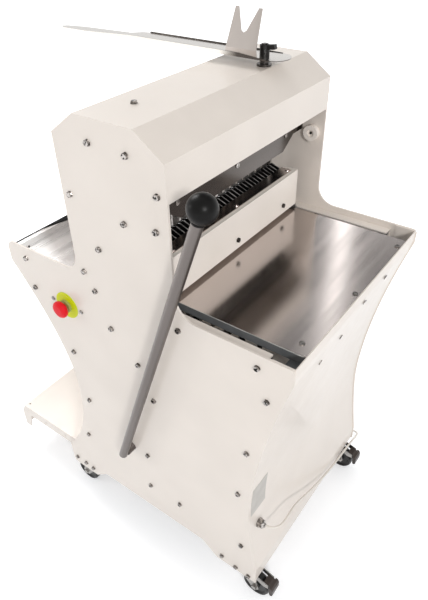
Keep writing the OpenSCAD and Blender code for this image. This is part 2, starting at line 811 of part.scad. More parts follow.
module guide_blocks() placed() {
    color(dark) both_sides() difference() {
        union() {
            block([-guide_half_d, -inner_w + 12, guide_h0], [guide_half_d, -guide_in_y, guide_h1]);
            across(-inner_w, -inner_w + 12) polygon([
                [-guide_half_d, guide_h1], [guide_bolts[0][0] + 13, guide_h1], [guide_bolts[0][0] + 13, guide_h0 - 2],
                guide_bolts[1] + [13, -14], guide_bolts[1] + [-15, -14], guide_bolts[1] + [-15, 14],
                [-guide_half_d, guide_h0]]);
            across(-inner_w, -pad_t - 1) polygon([
                pad_bolts[0] + [-14, 12], pad_bolts[0] + [12, 12], pad_bolts[1] + [14, 12],
                pad_bolts[1] + [14, -12], pad_bolts[1] + [-12, -12], pad_bolts[0] + [-14, -12]]);
            block([rail_x1 - stop_l - 1, -slide_y1, rail_z - rail_h / 2 + rail_t],
                [rail_x1 - 1, -slide_y1 + slide_t, rail_z + rail_h / 2 - rail_t]);
        }
        for (s = [-1, 1]) bar_z(s * row_x, -upright_y, upright_r + run_fit, guide_h0 - 1, guide_h1 + 1);
        for (b = concat(guide_bolts, pad_bolts))
            bar_y(b[0], b[1], bolt_d / 2 + run_fit, -inner_w - 1, -inner_w + tap_depth);
    }
}

// Drive: an eccentric shaft in the cradle, belt and motor

drive_x = -10;
drive_z = 535;
drive_half = 175;
drive_r = 10;
throw = blade_travel;
disc_r = 19;
ring_r = disc_r + 2 * throw + 1;
ring_w = 8;
ring_t = 12;
rod_y = 30;
driven_r = 36;
motor_x = 30;
motor_z = 215;
motor_r = 60;
motor_y0 = -50;
motor_y1 = 140;
motor_shaft_r = 9.5;
motor_pulley_r = 24;
pulley_y0 = 157;
pulley_y1 = 177;
belt_t = 4;
cradle_y0 = 130;
cradle_y1 = 150;
cradle_top = drive_z - 30;
pillow_half = 42;

module conrod(side) {
    y = side * rod_y;
    eye_z = blade_z0 - low_bar_h;
    difference() {
        union() {
            bar_y(drive_x, drive_z, ring_r + ring_w, y - ring_t / 2, y + ring_t / 2);
            across(y - ring_t / 2, y + ring_t / 2) polygon([
                [drive_x - 9, drive_z + ring_r + 2], [drive_x + 9, drive_z + ring_r + 2],
                [side * row_x + 7, eye_z], [side * row_x - 7, eye_z]]);
        }
        bar_y(drive_x, drive_z, ring_r, y - ring_t, y + ring_t);
    }
}

module conrod_front() placed() { color(grey) conrod(1); }
module conrod_rear() placed() { color(grey) conrod(-1); }

module drive_shaft() placed() {
    color(zinc) {
        bar_y(drive_x, drive_z, drive_r, -drive_half, drive_half);
        for (s = [-1, 1])
            bar_y(drive_x + s * throw, drive_z, disc_r, s * rod_y - ring_t / 2, s * rod_y + ring_t / 2);
    }
}

module pulley(x, z, r, bore) {
    difference() {
        union() {
            bar_y(x, z, r, pulley_y0, pulley_y1);
            bar_y(x, z, r + 3, pulley_y0 - 2, pulley_y0);
            bar_y(x, z, r + 3, pulley_y1, pulley_y1 + 2);
        }
        bar_y(x, z, bore, pulley_y0 - 3, pulley_y1 + 3);
    }
}

module driven_pulley() placed() { color(grey) pulley(drive_x, drive_z, driven_r, drive_r); }
module motor_pulley() placed() { color(grey) pulley(motor_x, motor_z, motor_pulley_r, motor_shaft_r + run_fit); }

module pillow_blocks() placed() {
    color(grey) both_sides() difference() {
        union() {
            block([drive_x - pillow_half, -cradle_y1 + 2, cradle_top],
                [drive_x + pillow_half, -cradle_y0 - 2, cradle_top + 12]);
            bar_y(drive_x, drive_z, 26, -cradle_y1 + 2, -cradle_y0 - 2);
        }
        bar_y(drive_x, drive_z, drive_r + run_fit, -cradle_y1, -cradle_y0);
        block([drive_x - pillow_half - 8, -cradle_y1 - 1, cradle_top - 30],
            [drive_x + pillow_half + 8, -cradle_y0 + 1, cradle_top]);
    }
}

rear_cradle_bar = [cross_bar_list[1][0], cross_bar_list[1][1]];
motor_bars = [[cross_bar_list[3][0], cross_bar_list[3][1]], [cross_bar_list[4][0], cross_bar_list[4][1]]];
motor_plate_z0 = motor_bar_z + bar_r;
motor_plate_t = 6;

module drive_cradle() placed() {
    color(grey) difference() {
        union() {
            both_sides() {
                across(-cradle_y1, -cradle_y0) polygon([
                    [rear_cradle_bar[0] - 8, cradle_top], [leg_foot[0] - 3, cradle_top],
                    [leg_foot[0] + 12, leg_foot[1] + 8], [leg_foot[0] + 12, leg_foot[1] - 12],
                    [leg_foot[0] - 10, leg_foot[1] - 16], [rear_cradle_bar[0] - 8, rear_cradle_bar[1] - 12]]);
                for (b = [rear_cradle_bar, leg_foot]) bar_y(b[0], b[1], eye_r, -cradle_y1, -cradle_y0);
            }
            block([motor_bars[0][0] - 25, motor_y0 - 10, motor_plate_z0],
                [motor_bars[1][0] + 25, motor_y1 - 5, motor_plate_z0 + motor_plate_t]);
        }
        for (b = [rear_cradle_bar, leg_foot]) bar_y(b[0], b[1], bar_r, -inner_w, inner_w);
        bar_y(drive_x, drive_z, 27, -cradle_y1 - 1, -cradle_y1 + 1);
    }
}

fins = 10;

module motor() placed() {
    color(grey) {
        bar_y(motor_x, motor_z, motor_r - 4, motor_y0, motor_y1 - 12);
        bar_y(motor_x, motor_z, motor_r, motor_y0 - 34, motor_y0);
        bar_y(motor_x, motor_z, motor_r, motor_y1 - 12, motor_y1);
        bar_y(motor_x, motor_z, motor_shaft_r, motor_y1 - 1, pulley_y1 + 4);
        for (i = [0:fins - 1]) bar_y(motor_x, motor_z, motor_r - 0.5,
            motor_y0 + 8 + i * 16, motor_y0 + 13 + i * 16);
        for (y = [motor_y0 + 14, motor_y1 - 40])
            block([motor_x - 48, y, motor_plate_z0 + motor_plate_t], [motor_x + 48, y + 22, motor_z - 42]);
        block([motor_x + 25, motor_y0 + 40, motor_z - 32], [motor_x + motor_r + 26, motor_y0 + 120, motor_z + 32]);
    }
}

function belt_side(c, r) = [for (i = [0:16]) c + r * [cos(i * 360 / 32), sin(i * 360 / 32)]];

module belt_loop(grow) {
    a = [drive_x, drive_z];
    b = [motor_x, motor_z];
    ra = driven_r + grow;
    rb = motor_pulley_r + grow;
    lean = atan2(a[1] - b[1], a[0] - b[0]);
    spread = acos((ra - rb) / norm(a - b));
    polygon(concat(
        [for (i = [0:20]) let (t = lean - spread + 2 * spread * i / 20) a + ra * [cos(t), sin(t)]],
        [for (i = [0:20]) let (t = lean + spread + (360 - 2 * spread) * i / 20) b + rb * [cos(t), sin(t)]]));
}

module drive_belt() placed() {
    color(dark) across(pulley_y0 + 1, pulley_y1 - 1) difference() {
        belt_loop(belt_gap + belt_t);
        belt_loop(belt_gap);
    }
}
belt_gap = 0.4;

// Emergency stop on the near side plate

yellow = [0.84, 0.87, 0.1];
red = [0.88, 0.1, 0.16];
estop_disc_r = 33;
collar_r = 15.5;
collar_h = 8;
mushroom_r = 20.5;
stem_r = 7;
press_travel = 5;

module estop_collar() placed() {
    color(yellow) difference() {
        bar_y(estop_x, estop_z, estop_disc_r, -half_w - 2, -half_w);
        bar_y(estop_x, estop_z, estop_hole_r, -half_w - 3, -half_w + 1);
    }
    color(dark) difference() {
        union() {
            bar_y(estop_x, estop_z, collar_r, -half_w - collar_h, -half_w - 2);
            bar_y(estop_x, estop_z, estop_hole_r - 0.2, -half_w - 3, -inner_w + 14);
            bar_y(estop_x, estop_z, 16, -inner_w, -inner_w + 6);
            block([estop_x - 16, -inner_w + 14, estop_z - 20], [estop_x + 6, -inner_w + 62, estop_z + 20]);
        }
        bar_y(estop_x, estop_z, stem_r + run_fit, -half_w - 12, -inner_w + 12);
    }
}

module estop_button() placed() {
    color(red) translate([estop_x, -half_w - collar_h - press_travel - 1, estop_z]) rotate([90, 0, 0]) {
        rotate_extrude($fn = 64) polygon([[0, 0], [mushroom_r - 4, 0], [mushroom_r - 1, 2], [mushroom_r, 6],
            [mushroom_r - 0.6, 10], [mushroom_r - 3, 13], [mushroom_r - 8, 15], [0, 16]]);
    }
    color(red) bar_y(estop_x, estop_z, stem_r, -half_w - collar_h - press_travel - 2, -inner_w + 5);
}

// Bag tray on the hood

tray_z = column_h + tray_lift;
tray_t = 1.5;
tray_end = post_x + 57;
tray_y0 = 100;
tray_y1 = tray_y0 + tray_w;
tray_back = tray_end - tray_l - 34;
tongue_tip = tray_back - tongue_l;
end_r = tray_w / 2;
post_top = tray_z + 24;
clamp_l = 26;

module tray_bracket() placed() {
    color(zinc) {
        bar_z(post_x, post_y, 15, column_h, column_h + 4);
        bar_z(post_x, post_y, stud_r, column_h - sheet_t - 8, post_top);
        bar_z(post_x, post_y, 9, column_h + 3, tray_z);
        difference() {
            translate([post_x, post_y, column_h - sheet_t - 7]) cylinder(r = 10, h = 7, $fn = 6);
            bar_z(post_x, post_y, stud_r, column_h - sheet_t - 9, column_h - sheet_t + 1);
        }
    }
}

module tray_shape() {
    polygon(concat(
        arc(tray_end - end_r, tray_y0 + end_r, end_r, -90, 90, 16),
        [[tray_back, tray_y1], [tray_back - 20, tray_y1 - 4], [tray_back - 40, tray_y0 + 44],
         [tongue_tip + 60, tray_y0 + 33], [tongue_tip + 12, tray_y0 + 22], [tongue_tip, tray_y0 + 12],
         [tongue_tip + 16, tray_y0], [tray_back, tray_y0]]));
}

// A lip along one side of the tray, which starts at x0
module tray_side(y, x0, lip) {
    across(y, y + tray_t) polygon([[x0, tray_z], [tray_end - end_r, tray_z],
        [tray_end - end_r, tray_z + tray_t + 1], [tray_end - end_r - 60, tray_z + lip],
        [tray_back, tray_z + lip], [x0, tray_z + tray_t]]);
}

module bag_tray() placed() {
    color(steel) difference() {
        union() {
            translate([0, 0, tray_z]) linear_extrude(tray_t) tray_shape();
            tray_side(tray_y0, tray_back - 150, tray_lip);
            tray_side(tray_y1 - tray_t, tray_back - 1, tray_lip / 2);
        }
        bar_z(post_x, post_y, stud_r + run_fit, tray_z - 1, tray_z + tray_t + 1);
    }
}

fork_x = 13;
fork_y = tray_y0 + tray_t;
crease_h = 16;
fork_lean = 22;
fork_t = 1.5;

module fork_plate() placed() {
    color(steel) {
        across(fork_y, fork_y + fork_t) polygon([
            [fork_x - fork_w / 2, tray_z + tray_t], [fork_x + fork_w / 2, tray_z + tray_t],
            [fork_x + fork_w / 2 - 2, tray_z + crease_h], [fork_x - fork_w / 2 + 2, tray_z + crease_h]]);
        translate([0, fork_y, tray_z + crease_h - 0.5]) rotate([-fork_lean, 0, 0]) across(0, fork_t)
            polygon([[fork_x - fork_w / 2 + 2, 0], [fork_x + fork_w / 2 - 2, 0],
                [fork_x + fork_w / 2 - 7, fork_h - crease_h], [fork_x + fork_w / 2 - 15, fork_h - crease_h],
                [fork_x + 5, 34], [fork_x - 1, 30], [fork_x - 7, 34],
                [fork_x - fork_w / 2 + 15, fork_h - crease_h], [fork_x - fork_w / 2 + 7, fork_h - crease_h]]);
    }
}

module clamp_handle() placed() {
    color(dark) difference() {
        union() {
            bar_z(post_x, post_y, 10, tray_z + tray_t, post_top - 2);
            translate([post_x, post_y - 5, post_top - 12]) rotate([0, -8, 0]) cube([clamp_l, 10, 9]);
        }
        bar_z(post_x, post_y, stud_r + run_fit, tray_z, post_top + 12);
    }
}

module bumpers() placed() {
    color(white) both_sides() difference() {
        bar_y(bumper_at[0], bumper_at[1], 18, -inner_w, -inner_w + 12);
        bar_y(bumper_at[0], bumper_at[1], bolt_d / 2 + run_fit, -inner_w - 1, -inner_w + 11);
        bar_y(bumper_at[0], bumper_at[1], 8.5, -inner_w + 7, -inner_w + 13);
    }
}

// Cable gland and power cord

module cable_gland() placed() {
    color(zinc) translate([gland_x, gland_y, gland_z]) rotate([0, 90 - gland_tilt, 0]) difference() {
        union() {
            translate([0, 0, -8]) cylinder(r = gland_r, h = 12, $fn = 48);
            translate([0, 0, 0.5]) cylinder(r = 12, h = 5, $fn = 6);
            translate([0, 0, 5]) cylinder(r = 10.5, h = 8, $fn = 48);
            translate([0, 0, 12.5]) cylinder(r1 = 10.5, r2 = cord_r + 1.5, h = 7.5, $fn = 48);
            translate([0, 0, -7]) cylinder(r = 12, h = 4.5, $fn = 6);
        }
        translate([0, 0, -9]) cylinder(r = cord_r + 0.2, h = 40, $fn = 48);
    }
}

cord_r = cord_d / 2;
cord_floor = -floor_z + cord_r + 0.3;
gland_dir = [cos(gland_tilt), 0, sin(gland_tilt)];
gland_pos = [gland_x, gland_y, gland_z];
cord_bend_r = 29;
cord_exit = gland_pos + 20 * gland_dir;
cord_bend = [for (b = [[18, 0.7], [36, 1.2], [54, 1.2], [72, 0.6], [90, -0.6]])
    cord_exit + [cord_bend_r * sin(b[0]), cord_bend_r * (1 - cos(b[0])), b[1]]];
cord_points = concat(
    [gland_pos + 4 * gland_dir, gland_pos + 12 * gland_dir, cord_exit], cord_bend,
    [[353.8, -202, 197], [353.3, -192, 194.9], [352, -178, 190.5], [350, -163, 184.3],
     [347, -144, 174], [343.5, -108, 151], [341.5, -60, 120], [340, 3, 87], [338.5, 56, 62],
     [336.5, 110, 39], [335, 172, 21.5], [335, 215, 13], [335, 256, 5], [334, 292, -9],
     [326, 330, -33], [303, 361, -66], [265, 385, -90],
     [225, 402, cord_floor], [190, 408, cord_floor], [175, 408, cord_floor]]);
cord_steps = 3;

function curve(p, i, t) = let (
    a = p[max(i - 1, 0)], b = p[i], c = p[i + 1], d = p[min(i + 2, len(p) - 1)])
    0.5 * (2 * b + (c - a) * t + (2 * a - 5 * b + 4 * c - d) * t * t + (3 * b - a - 3 * c + d) * t * t * t);
function smooth(p, n) = concat(
    [for (i = [0:len(p) - 2]) for (k = [0:n - 1]) curve(p, i, k / n)], [p[len(p) - 1]]);

// A tube with its rings square to the path
function direction(p, i) = let (d = p[min(i + 1, len(p) - 1)] - p[max(i - 1, 0)]) d / norm(d);
function across_of(d) = let (s = cross([0, 0, 1], d)) s / norm(s);
function ring_at(p, i, r, n) = let (d = direction(p, i), s = across_of(d), u = cross(d, s))
    [for (k = [0:n - 1]) let (a = 360 * k / n) p[i] + r * (cos(a) * s + sin(a) * u)];

module tube(p, r, n) {
    last = len(p) - 1;
    polyhedron(
        points = [for (i = [0:last]) each ring_at(p, i, r, n)],
        faces = concat(
            [[for (k = [0:n - 1]) k]],
            [for (i = [0:last - 1]) for (k = [0:n - 1]) each [
                [i * n + k, (i + 1) * n + k, (i + 1) * n + (k + 1) % n],
                [i * n + k, (i + 1) * n + (k + 1) % n, i * n + (k + 1) % n]]],
            [[for (k = [n - 1:-1:0]) last * n + k]]));
}

module power_cord() placed() {
    color(white) tube(smooth(cord_points, cord_steps), cord_r, 8);
}

coil_r = 34;
coil_turns = 5;
coil_rings = 24;
coil_rise = cord_d + 0.6;
coil_at = [150, 408 - coil_r, cord_floor];
coil_lift = 0.8;
function coil_point(t) = coil_at + [
    -coil_r * sin(t), coil_r * cos(t), coil_lift + coil_rise * t / 360];
coil_tail = [[-12, 0, 0], [-26, 2, -4], [-40, 4, -12], [-50, 5, -18], [-58, 5, -20]];
coil_points = concat([[174.7, 408, cord_floor], [160, 408, cord_floor + 0.3]],
    [for (i = [0:coil_turns * coil_rings]) coil_point(i * 360 / coil_rings)],
    [for (q = coil_tail) coil_point(coil_turns * 360) + q]);
coil_gap = min([for (i = [0:len(coil_points) - 1]) for (j = [i + coil_rings - 4:1:len(coil_points) - 1])
    norm(coil_points[i] - coil_points[j])]) - cord_d;
echo(coil_gap = coil_gap);

module cord_coil() placed() {
    color(white) tube(coil_points, cord_r, 6);
}

plug_at = coil_points[len(coil_points) - 1] + [-0.2, 0, 0];

plug_neck = 12;
plug_body = 26;
prong_l = 20;

module plug() placed() {
    color(white) {
        translate(plug_at) rotate([0, -90, 0]) cylinder(r1 = 6, r2 = 12, h = plug_neck, $fn = 48);
        translate(plug_at + [1 - plug_neck, 0, 0]) rotate([0, -90, 0]) cylinder(r = 17, h = plug_body, $fn = 48);
    }
    color(zinc) for (s = [-1, 1]) translate(plug_at + [2 - plug_neck - plug_body, s * 9.5, 0])
        rotate([0, -90, 0]) cylinder(r = 2.4, h = prong_l, $fn = 24);
}

// Fasteners, as separate solids

nut_h = 5;

module hex_y(x, z, af, y0, y1) {
    translate([x, y1, z]) rotate([90, 0, 0]) cylinder(r = af / sqrt(3), h = y1 - y0, $fn = 6);
}

// Bolts that clamp a sheet flange of thickness g with a nut
function nut_bolts() = concat(
    [for (b = concat(cover_bolts, hood_bolts)) [b[0], b[1], sheet_t]],
    [[trough_bolt[0], trough_bolt[1], steel_t]],
    [for (x = rail_bolts) [x, rail_z, rail_t]],
    [for (b = foot_bolts) [b[0], b[1], base_t]]);
// Bolts into tapped holes
function tapped_bolts() = concat(
    [for (b = concat(cross_bar_list, pegs)) [b[0], b[1], 12]],
    [for (b = guide_bolts) [b[0], b[1], 11]], [for (b = pad_bolts) [b[0], b[1], 11]],
    [[bumper_at[0], bumper_at[1], 9], [bush_ear[0], bush_ear[1], 7]]);

module side_bolt(x, z, length) {
    hex_y(x, z, bolt_af, -half_w - 1 - bolt_head, -half_w - 1);
    bar_y(x, z, washer_d / 2, -half_w - 1, -half_w);
    bar_y(x, z, bolt_d / 2, -half_w - 2, -half_w + length);
}

module side_nut(x, z, grip) {
    difference() {
        hex_y(x, z, bolt_af, -inner_w + grip, -inner_w + grip + nut_h);
        bar_y(x, z, bolt_d / 2, -inner_w, -inner_w + grip + nut_h + 1);
    }
}

module fasteners() placed() {
    color(zinc) {
        both_sides() {
            for (b = nut_bolts()) {
                side_bolt(b[0], b[1], plate_t + b[2] + nut_h + 1);
                side_nut(b[0], b[1], b[2]);
            }
            for (b = tapped_bolts()) side_bolt(b[0], b[1], plate_t + b[2]);
        }
        for (s = table_screws) {
            bar_z(s[0], s[1], screw_r - run_fit, table_h - 10, table_h + 1);
            bar_z(s[0], s[1], screw_head_r, table_h, table_h + screw_head);
        }
        for (y = guard_screws) {
            bar_x(y, guard_screw_z, screw_r - run_fit, guard_x - 11, guard_x + 2);
            bar_x(y, guard_screw_z, screw_head_r, guard_x + 1, guard_x + 1 + screw_head);
        }
        for (s = apron_screws) on_apron(s) {
            translate([0, 0, -7]) cylinder(r = screw_r, h = 8, $fn = 48);
            translate([0, 0, 0.2]) cylinder(r = screw_head_r, h = screw_head, $fn = 48);
        }
        bar_z(crown_bolt[0], crown_bolt[1], bolt_d / 2, column_h - sheet_t - nut_h - 1, column_h + 2);
        bar_z(crown_bolt[0], crown_bolt[1], washer_d / 2, column_h, column_h + 1);
        translate([crown_bolt[0], crown_bolt[1], column_h + 1])
            cylinder(r = bolt_af / sqrt(3), h = bolt_head, $fn = 6);
        translate([crown_bolt[0], crown_bolt[1], column_h - sheet_t - nut_h])
            cylinder(r = bolt_af / sqrt(3), h = nut_h, $fn = 6);
        for (s = [-1, 1]) translate([estop_x + s * 45, -half_w, estop_z])
            rotate([90, 0, 0]) cylinder(r = 5, h = 2.5, $fn = 48);
    }
}

// Casters

wheel_r = wheel_d / 2;
wheel_z = -floor_z + wheel_r;
cheek_t = 2.5;
cheek_in = wheel_w / 2 + 1.5;
axle_r = 4;
fork_top = -base_t - 0.3;
fork_roof = -22;

module cheeks() {
    for (s = [-1, 1]) across(s > 0 ? cheek_in : -cheek_in - cheek_t, s > 0 ? cheek_in + cheek_t : -cheek_in)
        children();
}

// A caster's fork, drawn about its swivel with the wheel towards +x
module caster_fork(braked = false) {
    color(zinc) {
        bar_z(0, 0, 24, fork_top - 7, fork_top);
        bar_z(0, 0, kingpin_r, fork_top - 1, base_t);
        bar_z(0, 0, kingpin_r + 2, 0.3, base_t);
        block([-22, -cheek_in - cheek_t, fork_roof], [30, cheek_in + cheek_t, fork_top - 6]);
        cheeks() polygon([[-22, fork_roof + 2], [30, fork_roof + 2], [caster_trail + 13, wheel_z],
            [caster_trail + 8, wheel_z - 11], [caster_trail - 8, wheel_z - 11], [caster_trail - 16, wheel_z]]);
        bar_y(caster_trail, wheel_z, axle_r, -cheek_in - cheek_t - 1, cheek_in + cheek_t + 1);
        hex_y(caster_trail, wheel_z, 13, -cheek_in - cheek_t - 5, -cheek_in - cheek_t);
        hex_y(caster_trail, wheel_z, 13, cheek_in + cheek_t, cheek_in + cheek_t + 5);
        if (braked) {
            cheeks() polygon([[20, fork_top - 6], [34, fork_top - 6], pedal_pivot + [7, 6],
                pedal_pivot + [7, -5], pedal_pivot + [-6, -6], [29, fork_roof]]);
            bar_y(pedal_pivot[0], pedal_pivot[1], pedal_pin_r, -cheek_in - 1, cheek_in + 1);
        }
    }
}

module caster_wheel() {
    color(dark) translate([caster_trail, 0, wheel_z]) rotate([90, 0, 0])
        rotate_extrude($fn = 96) polygon([[axle_r + run_fit, -wheel_w / 2 - 1], [10, -wheel_w / 2 - 1],
            [12, -wheel_w / 2 + 3], [wheel_r - 10, -wheel_w / 2 + 3], [wheel_r - 7, -wheel_w / 2],
            [wheel_r - 3, -wheel_w / 2], [wheel_r, -wheel_w / 2 + 5], [wheel_r, wheel_w / 2 - 5],
            [wheel_r - 3, wheel_w / 2], [wheel_r - 7, wheel_w / 2], [wheel_r - 10, wheel_w / 2 - 3],
            [12, wheel_w / 2 - 3], [10, wheel_w / 2 + 1], [axle_r + run_fit, wheel_w / 2 + 1]]);
}

// Casters at the front trail to the front, those at the rear to the rear
module at_front(side) {
    translate([front_swivel, side * swivel_y, 0]) children();
}
module at_rear(side) {
    translate([rear_swivel, side * swivel_y, 0]) mirror([1, 0, 0]) children();
}

module caster_fork_nf() placed() at_front(-1) caster_fork(true);
module caster_fork_ff() placed() at_front(1) caster_fork(true);
module caster_fork_nr() placed() at_rear(-1) caster_fork();
module caster_fork_fr() placed() at_rear(1) caster_fork();
module caster_wheel_nf() placed() at_front(-1) caster_wheel();
module caster_wheel_ff() placed() at_front(1) caster_wheel();
module caster_wheel_nr() placed() at_rear(-1) caster_wheel();
module caster_wheel_fr() placed() at_rear(1) caster_wheel();

pedal_pivot = [62, -26];
pedal_pin_r = 3;
pedal_half_w = 12.5;
pad_half_w = 17;
pad_in = 73;
pad_out = 83;
pad_low = -55;

// A pedal's arm between the cheeks and its pad, which hangs in front of the wheel
module brake_pedal() {
    color(brown) {
        across(-pedal_half_w, pedal_half_w) difference() {
            polygon([pedal_pivot + [-8, 7], pedal_pivot + [6, 7], [pad_in + 3, pedal_pivot[1] + 2],
                [pad_in + 3, pedal_pivot[1] - 14], pedal_pivot + [0, -6], pedal_pivot + [-8, -4]]);
            translate(pedal_pivot) circle(r = pedal_pin_r + run_fit, $fn = 24);
        }
        across(-pad_half_w, pad_half_w) polygon([[pad_in, pedal_pivot[1] + 4], [pad_out - 4, pedal_pivot[1] + 2],
            [pad_out, pedal_pivot[1] - 5], [pad_out, pad_low + 5], [pad_out - 6, pad_low], [pad_in, pad_low + 8]]);
    }
}

module brake_pedal_near() placed() at_front(-1) brake_pedal();
module brake_pedal_far() placed() at_front(1) brake_pedal();

side_plate_near();
side_plate_far();
hood();
infeed_table();
table_frame();
front_apron();
lower_panel();
rear_panel();
outfeed_trough();
rear_shelf();
base_channels();
cross_bars();
upper_guard();
guide_rails();
pusher_bar();
comb_strip();
comb_fingers();
carriage_plates();
slide_blocks();
lever_rod();
lever_knob();
lever_shaft();
crank_arms();
shaft_bushes();
blade_frame_front();
blades_front();
blade_frame_rear();
blades_rear();
guide_blocks();
conrod_front();
conrod_rear();
drive_shaft();
driven_pulley();
pillow_blocks();
drive_cradle();
drive_belt();
motor();
motor_pulley();
estop_collar();
estop_button();
tray_bracket();
bag_tray();
fork_plate();
clamp_handle();
bumpers();
cable_gland();
power_cord();
cord_coil();
plug();
fasteners();
caster_fork_nf();
caster_fork_ff();
caster_fork_nr();
caster_fork_fr();
caster_wheel_nf();
caster_wheel_ff();
caster_wheel_nr();
caster_wheel_fr();
brake_pedal_near();
brake_pedal_far();
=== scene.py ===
"""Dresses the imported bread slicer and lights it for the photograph's view."""
import json
from math import cos, radians, sin

import bmesh
import bpy
from mathutils import Matrix, Vector


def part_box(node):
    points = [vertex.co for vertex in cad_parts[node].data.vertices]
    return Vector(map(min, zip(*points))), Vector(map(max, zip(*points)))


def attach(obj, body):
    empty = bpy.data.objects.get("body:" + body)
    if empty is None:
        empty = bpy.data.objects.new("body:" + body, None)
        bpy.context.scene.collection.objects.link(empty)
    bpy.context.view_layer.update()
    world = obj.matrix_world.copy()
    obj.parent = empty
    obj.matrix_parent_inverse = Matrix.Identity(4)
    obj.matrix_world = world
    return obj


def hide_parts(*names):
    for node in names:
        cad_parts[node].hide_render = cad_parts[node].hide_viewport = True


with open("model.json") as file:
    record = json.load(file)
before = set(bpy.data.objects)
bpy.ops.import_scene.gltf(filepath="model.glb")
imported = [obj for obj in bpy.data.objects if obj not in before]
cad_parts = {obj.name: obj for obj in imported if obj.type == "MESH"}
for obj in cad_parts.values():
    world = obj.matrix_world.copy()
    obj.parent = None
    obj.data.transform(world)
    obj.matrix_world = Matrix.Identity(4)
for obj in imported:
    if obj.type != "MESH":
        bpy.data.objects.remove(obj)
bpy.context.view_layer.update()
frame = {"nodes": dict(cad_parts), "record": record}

MM = 0.001
# Where the CAD source's own axes start, in the model's frame, in millimetres
PLATE_ORIGIN = Vector((94, 24, 100))


def at(x, y, z):
    """A point of the CAD source, given in its millimetres, in metres in the model's frame."""
    return (Vector((x, y, z)) + PLATE_ORIGIN) * MM


def add_object(name, data):
    thing = bpy.data.objects.new(name, data)
    bpy.context.scene.collection.objects.link(thing)
    return thing


# Camera, solved from the photograph

CAMERA_AT = Vector((0.7672, -0.8668, 1.5125))
YAW = radians(36.66)
PITCH = radians(37.10)
ROLL = radians(-1.21)
LENS = 33.92
SENSOR = 36


def make_camera():
    back = Vector((sin(YAW) * cos(PITCH), -cos(YAW) * cos(PITCH), sin(PITCH)))
    right = Vector((cos(YAW), sin(YAW), 0))
    up = back.cross(right)
    turned_right = cos(ROLL) * right + sin(ROLL) * up
    turned_up = -sin(ROLL) * right + cos(ROLL) * up
    data = bpy.data.cameras.new("camera")
    data.lens = LENS
    data.sensor_width = SENSOR
    data.sensor_fit = "AUTO"
    camera = add_object("camera", data)
    turn = Matrix((turned_right, turned_up, back)).transposed()
    camera.matrix_world = Matrix.Translation(CAMERA_AT) @ turn.to_4x4()
    bpy.context.scene.camera = camera


make_camera()


# Shader nodes: each helper adds to a node tree and gives back what comes out of it

NOISE_DETAIL = 3.0


def maths(tree, operation, first, second):
    node = tree.nodes.new("ShaderNodeMath")
    node.operation = operation
    tree.links.new(first, node.inputs[0])
    tree.links.new(second, node.inputs[1])
    return node.outputs[0]


def along(tree, place, heading):
    """How far a point lies along a heading."""
    node = tree.nodes.new("ShaderNodeVectorMath")
    node.operation = "DOT_PRODUCT"
    node.inputs[1].default_value = heading
    tree.links.new(place, node.inputs[0])
    return node.outputs["Value"]


def mapped(tree, value, start, end, low=0.0, high=1.0, soft=True):
    """Goes from low to high as value goes from start to end, with soft in an even S."""
    node = tree.nodes.new("ShaderNodeMapRange")
    node.interpolation_type = "SMOOTHSTEP" if soft else "LINEAR"
    node.inputs["From Min"].default_value = start
    node.inputs["From Max"].default_value = end
    node.inputs["To Min"].default_value = low
    node.inputs["To Max"].default_value = high
    tree.links.new(value, node.inputs["Value"])
    return node.outputs["Result"]


def ramp(tree, factor, low, high, low_at=0.3, high_at=0.7):
    node = tree.nodes.new("ShaderNodeValToRGB")
    for stop, position, colour in zip(node.color_ramp.elements, (low_at, high_at), (low, high)):
        stop.position = position
        stop.color = colour
    tree.links.new(factor, node.inputs["Fac"])
    return node.outputs["Color"]


def object_place(tree):
    """The point's place in the object's own metres."""
    return tree.nodes.new("ShaderNodeTexCoord").outputs["Object"]


def noise(tree, scale, stretch):
    """Noise with scale lumps to the metre, drawn out along an axis where stretch is small."""
    mapping = tree.nodes.new("ShaderNodeMapping")
    mapping.inputs["Scale"].default_value = stretch
    texture = tree.nodes.new("ShaderNodeTexNoise")
    texture.inputs["Scale"].default_value = scale
    texture.inputs["Detail"].default_value = NOISE_DETAIL
    tree.links.new(object_place(tree), mapping.inputs["Vector"])
    tree.links.new(mapping.outputs["Vector"], texture.inputs["Vector"])
    return texture.outputs["Fac"]


# Materials

COAT_ROUGHNESS = 0.12
# The gloss changes this many times in a colour patch
GLOSS_LUMPS = 4
EVEN = (1, 1, 1)
BRUSHED_Y = (1, 0.03, 1)
BRUSHED_X = (0.03, 1, 1)
BRUSHED_UP = (1, 1, 0.05)
STEEL_GRAIN = 1600
STEEL_DEPTH = 0.00002


def srgb(red, green, blue):
    """A colour as it is seen, with channels from 0 to 255, as Blender's linear colour."""
    def linear(c):
        c /= 255
        return c / 12.92 if c <= 0.04045 else ((c + 0.055) / 1.055) ** 2.4
    return (linear(red), linear(green), linear(blue), 1)


def grey(value):
    return (value, value, value, 1)


def shader(name, roughness, metallic=0.0, coat=0.0, specular=0.5):
    mat = bpy.data.materials.new(name)
    mat.use_nodes = True
    surface = mat.node_tree.nodes["Principled BSDF"]
    surface.inputs["Roughness"].default_value = roughness
    surface.inputs["Metallic"].default_value = metallic
    surface.inputs["Coat Weight"].default_value = coat
    surface.inputs["Coat Roughness"].default_value = COAT_ROUGHNESS
    surface.inputs["Specular IOR Level"].default_value = specular
    return mat, surface


def bump(tree, surface, height, strength, distance):
    node = tree.nodes.new("ShaderNodeBump")
    node.inputs["Strength"].default_value = strength
    node.inputs["Distance"].default_value = distance
    tree.links.new(height, node.inputs["Height"])
    tree.links.new(node.outputs["Normal"], surface.inputs["Normal"])


